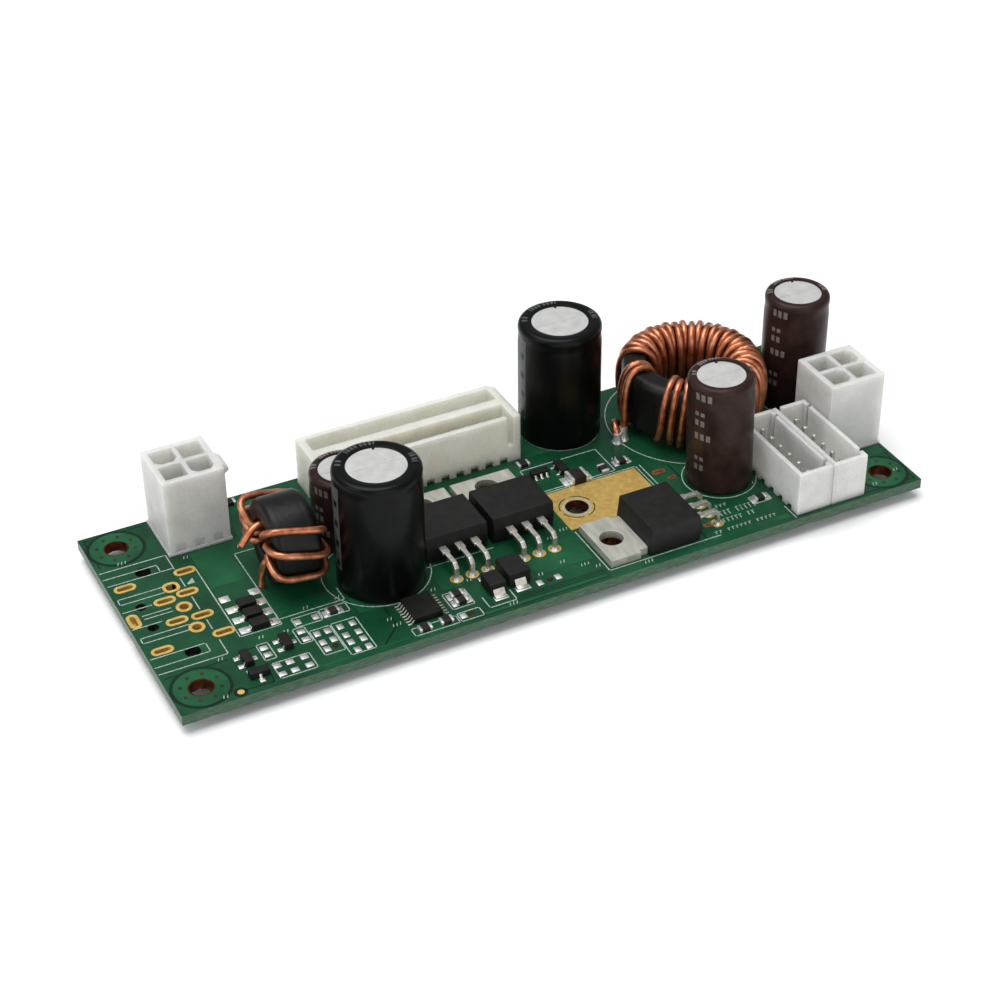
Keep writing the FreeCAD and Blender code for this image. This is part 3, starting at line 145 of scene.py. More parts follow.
def turned(name, section, centre, steps=96):
    """A round piece spun from its half section of (radius, height) points in millimetres."""
    first = section[0]
    bpy.ops.mesh.primitive_plane_add(size=MM, location=centre + Vector((first[0], 0, first[1])) * MM)
    piece = settle(added(name))
    edit(piece)
    bpy.ops.mesh.merge(type="CENTER")
    for before, after in zip(section, section[1:]):
        step = ((after[0] - before[0]) * MM, 0, (after[1] - before[1]) * MM)
        bpy.ops.mesh.extrude_vertices_move(TRANSFORM_OT_translate={"value": step})
    bpy.ops.mesh.select_all(action="SELECT")
    bpy.ops.mesh.spin(steps=steps, angle=2 * math.pi, center=centre, axis=(0, 0, 1))
    leave_edit()
    mend_normals(piece)
    return piece


def eased(points, steps=5):
    """A path with rounded corners: each point is (place, rounding)."""
    path = []
    for n, (place, rounding) in enumerate(points):
        if rounding == 0 or n in (0, len(points) - 1):
            path.append(place)
            continue
        into, out = points[n - 1][0] - place, points[n + 1][0] - place
        start = place + into.normalized() * min(rounding, into.length * 0.49)
        end = place + out.normalized() * min(rounding, out.length * 0.49)
        for k in range(steps + 1):
            t = k / steps
            path.append(start.lerp(place, t).lerp(place.lerp(end, t), t))
    return path


def wire(name, path, radius, sides=2):
    """A round wire of a radius in millimetres along places in metres."""
    curve = bpy.data.curves.new(name, "CURVE")
    curve.dimensions = "3D"
    curve.bevel_depth = radius * MM
    curve.bevel_resolution = sides
    curve.use_fill_caps = True
    run = curve.splines.new("POLY")
    run.points.add(len(path) - 1)
    for point, place in zip(run.points, path):
        point.co = (*place, 1)
    piece = bpy.data.objects.new(name, curve)
    bpy.context.collection.objects.link(piece)
    select_only(piece)
    bpy.ops.object.convert(target="MESH")
    return added(name)


def softened(node, name, width, degrees=30):
    """The form of a CAD node with its edges broken."""
    piece = bpy.data.objects.new(name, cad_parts[node].data.copy())
    bpy.context.collection.objects.link(piece)
    edit(piece)
    bpy.ops.mesh.select_all(action="SELECT")
    bpy.ops.mesh.remove_doubles(threshold=MERGE)
    bpy.ops.mesh.dissolve_limited(angle_limit=math.radians(1))
    leave_edit()
    bevelled(piece, width, degrees)
    smooth(piece, 60)
    apply_modifier(piece, "WEIGHTED_NORMAL", keep_sharp=True)
    return piece


def begin_print(name):
    """A mesh in edit mode to which flat shapes are added."""
    bpy.ops.mesh.primitive_plane_add(size=MM)
    piece = added(name)
    edit(piece)
    bpy.ops.mesh.delete(type="VERT")
    return piece


def strip(middle, long, wide, turn=0.0):
    """A flat strip on the mesh that is being printed, its sizes in millimetres."""
    bpy.ops.mesh.primitive_plane_add(size=MM, location=middle)
    bpy.ops.transform.resize(value=(long, wide, 1), center_override=middle)
    if turn:
        bpy.ops.transform.rotate(value=-turn, orient_axis="Z", center_override=middle)


def stroke(start, end, width=LINE):
    """A straight printed line between two places on the board."""
    run = Vector(end) - Vector(start)
    middle = (Vector(start) + Vector(end)) / 2
    strip(spot(*middle), run.length + width, width, math.atan2(run.y, run.x))


def field(low, high):
    """A filled rectangle between two corners on the board."""
    middle = (Vector(low) + Vector(high)) / 2
    strip(spot(*middle), high[0] - low[0], high[1] - low[1])


def frame_line(low, high):
    """The outline of a rectangle."""
    (x0, y0), (x1, y1) = low, high
    corners = ((x0, y0), (x1, y0), (x1, y1), (x0, y1))
    for n, corner in enumerate(corners):
        stroke(corners[n - 1], corner)


def finish_print(piece, rise):
    """Turn flat shapes into a thin layer that stands on the board."""
    leave_edit()
    apply_modifier(piece, "SOLIDIFY", thickness=rise * MM, offset=1.0)
    return piece


# Materials

def ink(red, green, blue):
    """A colour seen as 0 to 255 values, as the shader's own numbers."""
    def linear(value):
        value /= 255
        return value / 12.92 if value <= 0.04045 else ((value + 0.055) / 1.055) ** 2.4
    return linear(red), linear(green), linear(blue), 1.0


class Finish:
    """A node material under construction."""

    def __init__(self, name, roughness, metallic=0.0, coat=0.0, specular=0.5):
        self.material = bpy.data.materials.new(name)
        self.material.use_nodes = True
        self.tree = self.material.node_tree
        self.shader = self.tree.nodes["Principled BSDF"]
        self.shader.inputs["Roughness"].default_value = roughness
        self.shader.inputs["Metallic"].default_value = metallic
        self.shader.inputs["Coat Weight"].default_value = coat
        self.shader.inputs["Specular IOR Level"].default_value = specular
        self.place = self.node("ShaderNodeTexCoord").outputs["Object"]

    def node(self, kind, **settings):
        made = self.tree.nodes.new(kind)
        for key, value in settings.items():
            setattr(made, key, value)
        return made

    def link(self, source, target):
        self.tree.links.new(source, target)

    def moved(self, centre=(0, 0, 0), stretch=(1, 1, 1)):
        """Object places measured from a centre."""
        mapping = self.node("ShaderNodeMapping", vector_type="POINT")
        mapping.inputs["Location"].default_value = [-c * s for c, s in zip(centre, stretch)]
        mapping.inputs["Scale"].default_value = stretch
        self.link(self.place, mapping.inputs["Vector"])
        return mapping.outputs["Vector"]

    def noise(self, size, detail=3.0, place=None):
        """Noise whose features are about a size in millimetres."""
        texture = self.node("ShaderNodeTexNoise")
        texture.inputs["Scale"].default_value = 1 / (size * MM)
        texture.inputs["Detail"].default_value = detail
        self.link(place or self.place, texture.inputs["Vector"])
        return texture.outputs["Fac"]

    def bands(self, pitch, axis):
        """Soft stripes across an axis, a pitch in millimetres apart."""
        texture = self.node("ShaderNodeTexWave", bands_direction=axis)
        texture.inputs["Scale"].default_value = 0.314 / (pitch * MM)
        self.link(self.place, texture.inputs["Vector"])
        return texture.outputs["Fac"]

    def math(self, operation, a, b=None, c=None):
        made = self.node("ShaderNodeMath", operation=operation)
        for slot, value in zip(made.inputs, (a, b, c)):
            if value is None:
                continue
            if isinstance(value, (int, float)):
                slot.default_value = value
            else:
                self.link(value, slot)
        return made.outputs["Value"]

    def ramp(self, factor, *stops):
        """Colours by factor: each stop is (position, colour)."""
        made = self.node("ShaderNodeValToRGB")
        band = made.color_ramp
        while len(band.elements) < len(stops):
            band.elements.new(1.0)
        for element, (position, colour) in zip(band.elements, stops):
            element.position = position
            element.color = colour
        self.link(factor, made.inputs["Fac"])
        return made.outputs["Color"]

    def mixed(self, factor, first, second):
        """Two colours, or colour outputs, mixed by a factor."""
        made = self.node("ShaderNodeMix", data_type="RGBA")
        for slot, value in ((made.inputs[0], factor), (made.inputs[6], first), (made.inputs[7], second)):
            if isinstance(value, (int, float, tuple)):
                slot.default_value = value
            else:
                self.link(value, slot)
        return made.outputs[2]

    def spread(self, factor, low, high):
        """A factor of 0 to 1 mapped to a range."""
        made = self.node("ShaderNodeMapRange")
        made.inputs["To Min"].default_value = low
        made.inputs["To Max"].default_value = high
        self.link(factor, made.inputs["Value"])
        return made.outputs["Result"]

    def colour(self, source):
        self.link(source, self.shader.inputs["Base Color"])

    def rough(self, source):
        self.link(source, self.shader.inputs["Roughness"])

    def relief(self, height, depth, strength=0.6):
        """Bump of a depth in millimetres."""
        made = self.node("ShaderNodeBump")
        made.inputs["Strength"].default_value = strength
        made.inputs["Distance"].default_value = depth * MM
        self.link(height, made.inputs["Height"])
        self.link(made.outputs["Normal"], self.shader.inputs["Normal"])

    def facing_up(self):
        """1 where the surface is level, 0 where it is upright."""
        normal = self.node("ShaderNodeNewGeometry").outputs["Normal"]
        split = self.node("ShaderNodeSeparateXYZ")
        self.link(normal, split.inputs[0])
        return self.math("GREATER_THAN", self.math("ABSOLUTE", split.outputs["Z"]), 0.6)


def solder_mask():
    finish = Finish("green_solder_mask", 0.36, coat=0.06, specular=0.2)
    broad = finish.noise(9.0, 4.0)
    fine = finish.noise(0.5, 2.0)
    green = finish.ramp(finish.math("MULTIPLY_ADD", fine, 0.25, finish.math("MULTIPLY", broad, 0.8)),
                        (0.30, ink(9, 50, 30)), (0.62, ink(21, 74, 47)), (0.8, ink(34, 94, 60)))
    layers = finish.noise(0.25, 2.0, finish.moved(stretch=(0.2, 0.2, 3.0)))
    edge = finish.ramp(layers, (0.35, ink(38, 68, 50)), (0.65, ink(78, 104, 82)))
    split = finish.node("ShaderNodeSeparateXYZ")
    finish.link(finish.place, split.inputs[0])
    reach_x = finish.math("GREATER_THAN", finish.math("ABSOLUTE", split.outputs["X"]), (LENGTH / 2 - 0.1) * MM)
    reach_y = finish.math("GREATER_THAN", finish.math("ABSOLUTE", split.outputs["Y"]), (WIDTH / 2 - 0.1) * MM)
    # Upright faces at the board's outer edges show the laminate layers. Upright faces inside holes and cut-outs get
    # near-black ink(20, 22, 14), which is painted shade for the hole interiors.
    side = finish.mixed(finish.math("MAXIMUM", reach_x, reach_y), ink(20, 22, 14), edge)
    finish.colour(finish.mixed(finish.facing_up(), side, green))
    finish.rough(finish.spread(broad, 0.28, 0.44))
    weave = finish.math("ADD", finish.bands(0.55, "X"), finish.bands(0.55, "Y"))
    finish.relief(weave, 0.012, 0.35)
    return finish.material


def copper_under_mask(name, deep, bright):
    finish = Finish(name, 0.34, coat=0.06, specular=0.2)
    broad = finish.noise(7.0, 4.0)
    finish.colour(finish.ramp(broad, (0.3, deep), (0.7, bright)))
    finish.rough(finish.spread(finish.noise(1.2), 0.28, 0.44))
    finish.relief(finish.noise(0.3), 0.01, 0.3)
    return finish.material


def legend_ink():
    finish = Finish("white_legend_ink", 0.65)
    finish.colour(finish.ramp(finish.noise(0.25, 2.0), (0.3, ink(112, 134, 122)), (0.62, ink(176, 186, 178))))
    finish.relief(finish.noise(0.1), 0.01, 0.4)
    return finish.material


def moulded_nylon(name, shade, bright):
    finish = Finish(name, 0.5, specular=0.3)
    finish.shader.inputs["Subsurface Weight"].default_value = 0.8
    finish.shader.inputs["Subsurface Radius"].default_value = (1.0, 0.95, 0.85)
    finish.shader.inputs["Subsurface Scale"].default_value = 5 * MM
    coarse, fine = finish.noise(3.2, 4.0), finish.noise(0.35)
    mottle = finish.math("MULTIPLY_ADD", coarse, 0.6, finish.math("MULTIPLY", fine, 0.4))
    finish.colour(finish.ramp(mottle, (0.36, shade), (0.64, bright)))
    finish.rough(finish.spread(finish.noise(1.5), 0.42, 0.6))
    finish.relief(finish.noise(0.16, 2.0), 0.02, 0.5)
    return finish.material


def plated_metal(name, dull, bright, roughness, metallic=1.0, grain=0.12, depth=0.01, stretch=(1, 1, 1)):
    finish = Finish(name, roughness, metallic)
    place = finish.moved(stretch=stretch)
    finish.colour(finish.ramp(finish.noise(0.9, 4.0, place), (0.32, dull), (0.66, bright)))
    finish.rough(finish.spread(finish.noise(0.5, 3.0, place), roughness * 0.75, roughness * 1.3))
    finish.relief(finish.noise(grain, 2.0, place), depth, 0.5)
    return finish.material


def enamelled_copper():
    finish = Finish("enamelled_copper", 0.38, metallic=0.9, coat=0.2)
    tones = (0.28, ink(144, 80, 52)), (0.5, ink(190, 118, 84)), (0.72, ink(216, 154, 119))
    finish.colour(finish.ramp(finish.noise(1.6, 5.0), *tones))
    finish.rough(finish.spread(finish.noise(0.7, 3.0), 0.3, 0.48))
    finish.relief(finish.noise(0.5, 3.0), 0.012, 0.3)
    return finish.material


def core_coating():
    finish = Finish("black_core_coating", 0.4, specular=0.25)
    finish.colour(finish.ramp(finish.noise(2.2, 4.0), (0.3, ink(4, 5, 4)), (0.7, ink(12, 13, 11))))
    finish.rough(finish.spread(finish.noise(1.1, 4.0), 0.3, 0.55))
    finish.relief(finish.noise(0.45, 3.0), 0.05, 0.5)
    return finish.material


def moulded_epoxy(name="moulded_epoxy", shade=(12, 12, 11), bright=(24, 24, 22)):
    finish = Finish(name, 0.6, specular=0.25)
    finish.colour(finish.ramp(finish.noise(1.4, 4.0), (0.3, ink(*shade)), (0.7, ink(*bright))))
    finish.rough(finish.spread(finish.noise(0.8), 0.45, 0.66))
    finish.relief(finish.noise(0.09, 2.0), 0.015, 0.6)
    return finish.material


def around(finish, centre):
    """Angle in degrees, height and distance in millimetres about an upright axis."""
    split = finish.node("ShaderNodeSeparateXYZ")
    finish.link(finish.moved(centre), split.inputs[0])
    x, y, z = split.outputs
    angle = finish.math("MULTIPLY", finish.math("ARCTAN2", y, x), 180 / math.pi)
    reach = finish.math("SQRT", finish.math("ADD", finish.math("MULTIPLY", x, x), finish.math("MULTIPLY", y, y)))
    return angle, finish.math("DIVIDE", z, MM), finish.math("DIVIDE", reach, MM)


def within(finish, value, middle, half):
    """1 where a value is within half a width of its middle."""
    return finish.math("COMPARE", value, middle, half)


# Printed arcs on a sleeve's rim: middle angle and half width in degrees.
RIM_ARCS = ((95.0, 26.0), (150.0, 9.0), (-8.0, 12.0))
MINUS_PITCH = 3.4


def shrink_film(name, centre, dark, light, printed, stripe, crown, marks):
    """Shrink sleeve film with a polarity stripe, short printed bars and broken arcs round its crown."""
    finish = Finish(name, 0.34, coat=0.02, specular=0.13)
    angle, height, reach = around(finish, centre)
    film = finish.ramp(finish.noise(2.5, 4.0), (0.3, dark), (0.7, light))
    middle, half, low, high = stripe
    upright = finish.math("SUBTRACT", 1.0, finish.facing_up())
    turn = finish.math("PINGPONG", finish.math("SUBTRACT", angle, middle), 180.0)
    band = finish.math("MULTIPLY", finish.math("LESS_THAN", turn, half), upright)
    band = finish.math("MULTIPLY", band, finish.math("GREATER_THAN", height, low))
    band = finish.math("MULTIPLY", band, finish.math("LESS_THAN", height, high))
    step = finish.math("FRACT", finish.math("DIVIDE", height, MINUS_PITCH))
    minus = finish.math("MULTIPLY", within(finish, step, 0.5, 0.16), finish.math("LESS_THAN", turn, half * 0.55))
    stripe_ink = finish.math("MULTIPLY", band, finish.math("SUBTRACT", 1.0, minus))
    print_all = stripe_ink
    for mark_angle, mark_half, mark_height, mark_rise in marks:
        away = finish.math("PINGPONG", finish.math("SUBTRACT", angle, mark_angle), 180.0)
        bar = finish.math("MULTIPLY", finish.math("LESS_THAN", away, mark_half),
                          within(finish, height, mark_height, mark_rise))
        print_all = finish.math("MAXIMUM", print_all, finish.math("MULTIPLY", bar, upright))
    for arc_angle, arc_half in RIM_ARCS:
        away = finish.math("PINGPONG", finish.math("SUBTRACT", angle, arc_angle), 180.0)
        arc = finish.math("MULTIPLY", finish.math("LESS_THAN", away, arc_half), finish.facing_up())
        broken = finish.math("GREATER_THAN", finish.math("FRACT", finish.math("DIVIDE", away, 7.0)), 0.35)
        arc = finish.math("MULTIPLY", arc, within(finish, reach, crown, 0.42))
        print_all = finish.math("MAXIMUM", print_all, finish.math("MULTIPLY", arc, broken))
    worn = finish.math("MULTIPLY", print_all, finish.spread(finish.noise(0.5, 2.0), 0.4, 0.9))
    finish.colour(finish.mixed(worn, film, printed))
    finish.rough(finish.spread(finish.noise(1.8, 3.0), 0.26, 0.42))
    finish.relief(finish.noise(1.3, 3.0), 0.03, 0.25)
    return finish.material


def scored_aluminium():
    finish = Finish("satin_can_top", 0.45, metallic=0.5)
    finish.colour(finish.ramp(finish.noise(1.5, 4.0), (0.3, ink(204, 204, 201)), (0.7, ink(222, 222, 219))))
    finish.rough(finish.spread(finish.noise(0.6), 0.3, 0.5))
    finish.relief(finish.noise(0.12, 2.0), 0.01, 0.5)
    return finish.material


MASK = solder_mask()
POUR = copper_under_mask("mask_over_copper", ink(12, 62, 38), ink(30, 92, 58))
TRENCH = copper_under_mask("mask_between_copper", ink(5, 28, 17), ink(9, 38, 23))
LEGEND = legend_ink()
NYLON = moulded_nylon("white_nylon", ink(196, 196, 190), ink(214, 213, 208))
CREAM = moulded_nylon("cream_nylon", ink(206, 204, 189), ink(223, 221, 208))
TIN = plated_metal("tinned_lead", ink(188, 186, 176), ink(226, 224, 214), 0.42)
TAB = plated_metal("tinned_tab", ink(166, 166, 156), ink(190, 189, 178), 0.58, metallic=0.6,
                   stretch=(1, 0.25, 1))
SOLDER = plated_metal("bright_solder", ink(196, 198, 198), ink(238, 239, 238), 0.4, metallic=0.8,
                      grain=0.5, depth=0.05)
GOLD = plated_metal("gold_plating", ink(210, 173, 94), ink(230, 196, 116), 0.42, metallic=0.7,
                    grain=0.18, depth=0.02)
# Dark copper brown for hole walls and vias. The same material colours the discs of painted shade under the transistor
# tab holes.
COPPER_AND_HOLE_SHADE = plated_metal("copper_barrel_and_hole_shade", ink(52, 25, 12), ink(104, 56, 32), 0.55)
COPPER = enamelled_copper()
CORE = core_coating()
EPOXY = moulded_epoxy()
CERAMIC = moulded_epoxy("chip_ceramic", (20, 19, 17), (44, 40, 34))
RUBBER = moulded_epoxy("bung_rubber", (14, 14, 14), (30, 30, 30))
DISC = scored_aluminium()


# Camera, floor and light

CAMERA_PLACE = Vector((-123.012, -245.309, 199.319)) * MM
YAW, PITCH, ROLL = (math.radians(a) for a in (26.441, 35.527, -0.619))
FOCAL_PIXELS, FRAME_PIXELS, SENSOR = 2245.3, 1000.0, 36.0
FLOOR_SIZE = 6.0
SKY_COLOUR, SKY_STRENGTH = (0.95, 0.97, 1.0, 1.0), 0.36
SOFT_LIGHTS = (
    # name, place, aim, size, watts
    ("overhead_box", (-0.2, 0.15, 1.4), (0, 0, 0), 1.2, 19.5),
    ("left_box", (-1.5, -0.1, 0.8), (0, 0, 0.01), 0.9, 5.2),
    ("front_fill", (-0.15, -1.6, 0.7), (0, 0, 0.01), 1.4, 9.0),
)


def make_camera():
    ahead = Vector((math.sin(YAW) * math.cos(PITCH), math.cos(YAW) * math.cos(PITCH), -math.sin(PITCH)))
    level = Vector((math.cos(YAW), -math.sin(YAW), 0))
    rise = level.cross(ahead)
    right = level * math.cos(ROLL) + rise * math.sin(ROLL)
    up = rise * math.cos(ROLL) - level * math.sin(ROLL)
    bpy.ops.object.camera_add()
    camera = bpy.context.object
    camera.name = "photo_camera"
    turn = Matrix((right, up, -ahead)).transposed().to_4x4()
    camera.matrix_world = Matrix.Translation(CAMERA_PLACE) @ turn
    camera.data.sensor_width = SENSOR
    camera.data.lens = FOCAL_PIXELS * SENSOR / FRAME_PIXELS
    camera.data.clip_start = 0.01
    bpy.context.scene.camera = camera


def soft_light(name, place, aim, size, power):
    bpy.ops.object.light_add(type="AREA", location=place)
    lamp = bpy.context.object
    lamp.name = name
    lamp.data.shape = "SQUARE"
    lamp.data.size = size
    lamp.data.energy = power
    lamp.rotation_euler = (Vector(aim) - Vector(place)).to_track_quat("-Z", "Y").to_euler()


def make_studio():
    bpy.ops.mesh.primitive_plane_add(size=FLOOR_SIZE, location=(0, 0, -STUB * MM))
    floor = settle(added("studio_floor"))
    paper = Finish("pale_paper", 0.9, specular=0.1)
    paper.colour(paper.ramp(paper.noise(60.0), (0.3, ink(248, 248, 248)), (0.7, ink(251, 251, 251))))
    floor.data.materials.append(paper.material)
    for light in SOFT_LIGHTS:
        soft_light(*light)
    world = bpy.context.scene.world or bpy.data.worlds.new("studio")
    bpy.context.scene.world = world
    world.use_nodes = True
    sky = world.node_tree.nodes["Background"]
    sky.inputs["Color"].default_value = SKY_COLOUR
    sky.inputs["Strength"].default_value = SKY_STRENGTH
    bpy.context.scene.view_settings.view_transform = "Standard"


# Board: mask, copper, holes and legend

MOUNT_HOLES = ((4.5, 4.5), (4.5, 40.0), (115.5, 4.5), (115.5, 40.0))
MOUNT_BORE, LAND_INNER, LAND_OUTER, GAP_OUTER = 1.68, 1.9, 3.9, 4.4
MOUNT_VIAS, VIA_CIRCLE = 8, 2.85
LOOSE_VIAS = ((24.3, 4.4), (44.2, 2.2), (57.8, 4.0), (59.9, 20.0))
JACK_SLOTS = ((2.5, 30.2), (11.6, 30.2), (6.6, 24.8), (10.2, 25.3), (6.6, 19.7), (10.3, 19.4), (2.5, 14.4),
              (11.6, 14.4))
JACK_ROUND = ((8.6, 22.3), (8.6, 17.1))


def ring_plate(name, x, y, inner, outer, rise, steps=48, low=TOP):
    """A flat ring that stands on the board."""
    section = [(inner, low), (outer, low), (outer, low + rise), (inner, low + rise), (inner, low)]
    return turned(name, section, spot(x, y, 0), steps)


def barrel(name, x, y, long_x, long_y, bore, rim, rise=0.05):
    """A plated hole, round or drawn out into a slot: rims on both faces and a wall between."""
    top, thin = TOP + rise, 0.05
    section = [(bore, -rise), (rim, -rise), (rim, 0), (bore + thin, 0), (bore + thin, TOP),
               (rim, TOP), (rim, top), (bore, top), (bore, -rise)]
    piece = turned(name, section, spot(x, y, 0), 24)
    centre = spot(x, y, 0)
    for axis, reach in ((0, long_x), (1, long_y)):
        if not reach:
            continue
        for vertex in piece.data.vertices:
            away = vertex.co[axis] - centre[axis]
            if abs(away) > MERGE:
                vertex.co[axis] += math.copysign(reach * MM, away)
    return piece


def make_board():
    coat(MASK, "board")
    coat(GOLD, "thermal_pad")
    rims = [barrel("jack_slot", x, y, 0.8, 0, 0.4, 0.86) for x, y in JACK_SLOTS]
    rims.append(barrel("jack_slot", 1.1, 22.3, 0, 0.8, 0.4, 0.9))
    rims.append(barrel("jack_hole", 8.5, 27.4, 0.25, 0.2, 0.5, 1.0))
    rims += [barrel("jack_hole", x, y, 0, 0, 0.7, 1.2) for x, y in JACK_ROUND]
    dress(joined("jack_plating", rims), GOLD, "gold_plate")
    walls = [barrel("mount_barrel", x, y, 0, 0, MOUNT_BORE, LAND_INNER, rise=0.02) for x, y in MOUNT_HOLES]
    dress(joined("mount_hole_plating", walls), COPPER_AND_HOLE_SHADE, "gold_plate")
    rings = [ring_plate("mount_land", x, y, LAND_INNER, LAND_OUTER, 0.03) for x, y in MOUNT_HOLES]
    dress(joined("mount_hole_lands", rings), POUR, "laminate")
    trenches = [ring_plate("mount_gap", x, y, LAND_OUTER, GAP_OUTER, 0.012) for x, y in MOUNT_HOLES]
    dress(joined("mount_hole_gaps", trenches), TRENCH, "laminate")
    vias = []
    for x, y in MOUNT_HOLES:
        for n in range(MOUNT_VIAS):
            angle = 2 * math.pi * (n + 0.5) / MOUNT_VIAS
            via_x, via_y = x + VIA_CIRCLE * math.cos(angle), y + VIA_CIRCLE * math.sin(angle)
            vias.append(ring_plate("via", via_x, via_y, 0.1, 0.26, 0.06, 12))
    for x, y in LOOSE_VIAS:
        vias.append(ring_plate("via", x, y, 0.2, 0.45, 0.06, 16))
    dress(joined("open_vias", vias), COPPER_AND_HOLE_SHADE, "gold_plate")


FIDUCIAL = (8.95, 1.1)
PAD_HOLE = (69.74, 17.88)
PAD_TOP = TOP + 0.06
ARC_PITCH, ARC_CUT = 90, 14
TAB_HOLES = ((48.4, 27.45), (59.34, 27.45))
SIDE_TAB_HOLE = (69.7, 7.15)
COPPER_OVALS = (
    # x, y, half length beyond the ends along x and y, bore, rim
    (85.3, 20.3, 0.55, 0, 0.12, 0.6), (86.4, 18.0, 0.3, 0, 0.1, 0.45), (85.0, 4.8, 0.4, 0, 0.1, 0.5),
)


def make_gold_marks():
    """Bare copper and gold: the fiducial, the ring and arcs round the pad's hole, and small ovals; also hole walls,
    and dark discs of painted shade under the transistor tab holes.
    """
    dress(ring_plate("fiducial", *FIDUCIAL, 0.02, 0.5, 0.04, 24), GOLD, "gold_plate")
    dress(ring_plate("fiducial_ground", *FIDUCIAL, 0.52, 1.0, 0.015, 32), TRENCH, "laminate")
    dress(ring_plate("pad_hole_rim", *PAD_HOLE, 1.9, 2.25, 0.02, 48, PAD_TOP), TAB, "gold_plate")
    arcs = ring_plate("pad_hole_arcs", *PAD_HOLE, 2.62, 2.78, 0.015, 96, PAD_TOP)
    edit(arcs)
    bpy.ops.mesh.select_all(action="DESELECT")
    leave_edit()
    centre = spot(*PAD_HOLE)
    for vertex in arcs.data.vertices:
        angle = math.degrees(math.atan2(vertex.co.y - centre.y, vertex.co.x - centre.x)) % ARC_PITCH
        vertex.select = angle < ARC_CUT
    edit(arcs)
    bpy.ops.mesh.delete(type="VERT")
    bpy.ops.mesh.select_all(action="SELECT")
    bpy.ops.mesh.fill_holes(sides=8)
    bpy.ops.mesh.normals_make_consistent(inside=False)
    leave_edit()
    dress(arcs, TRENCH, "gold_plate")
    dress(barrel("pad_hole_wall", *PAD_HOLE, 0, 0, 1.76, 1.79, rise=0.0), COPPER_AND_HOLE_SHADE, "gold_plate")
    dress(barrel("side_tab_hole_wall", *SIDE_TAB_HOLE, 0, 0, 1.76, 1.79, rise=0.0), COPPER_AND_HOLE_SHADE, "gold_plate")
    # Dark copper-brown discs under the two transistor tab holes: painted shade standing for the plated hole beneath
    # each tab, its copper barrel and the shade inside it.
    shade_discs = [ring_plate("tab_hole_shade_disc", x, y, 0.02, 1.75, 0.03) for x, y in TAB_HOLES]
    dress(joined("tab_hole_shade_discs", shade_discs), COPPER_AND_HOLE_SHADE, "gold_plate")
    ovals = [barrel("copper_oval", *oval) for oval in COPPER_OVALS]
    dress(joined("copper_ovals", ovals), COPPER, "gold_plate")


COPPER_FIELDS = (
    ((13.6, 24.4), (19.1, 33.8)), ((21.6, 31.4), (33.5, 42.6)), ((30.2, 9.4), (34.4, 13.2)),
    ((43.0, 8.6), (46.5, 14.6)), ((56.6, 5.6), (65.8, 11.8)), ((66.0, 13.2), (66.1, 22.6)),
    ((68.8, 33.0), (75.8, 43.4)), ((85.0, 33.0), (88.8, 43.2)), ((106.8, 34.6), (112.0, 43.4)),
    ((111.2, 8.8), (119.3, 10.8)), ((83.6, 0.9), (97.0, 1.9)), ((46.0, 0.8), (65.6, 1.4)),
    ((14.0, 0.9), (34.5, 1.3)),
)
WIDE_GAPS = (
    ((9.6, 1.2), (13.8, 1.2)), ((13.8, 1.2), (14.4, 5.2)), ((12.9, 9.2), (20.2, 9.2)), ((30.6, 1.4), (33.8, 4.6)),
    ((33.8, 4.6), (33.8, 9.0)), ((0.8, 8.4), (9.8, 8.4)), ((83.0, 10.8), (83.0, 1.6)), ((87.6, 12.6), (87.6, 21.4)),
    ((110.6, 0.9), (119.2, 0.9)), ((119.2, 0.9), (119.2, 10.4)), ((0.8, 43.7), (9.6, 43.7)),
    ((0.8, 36.4), (0.8, 43.7)),
)
FINE_GAP, WIDE_GAP = 0.12, 0.2


def make_copper():
    sheet = begin_print("covered_copper")
    for low, high in COPPER_FIELDS:
        field(low, high)
    dress(finish_print(sheet, 0.02), POUR, "laminate")
    lines = begin_print("track_gaps")
    for n in range(5):
        front, middle = 0.7 + 0.45 * n, 22.5 + 0.5 * n
        stroke((44.0 + 2 * n, front), (66.0, front), FINE_GAP)
        stroke((21.0 + n, middle), (30.8 - n, middle), FINE_GAP)
    for start, end in WIDE_GAPS:
        stroke(start, end, WIDE_GAP)
    dress(finish_print(lines, 0.015), TRENCH, "laminate")


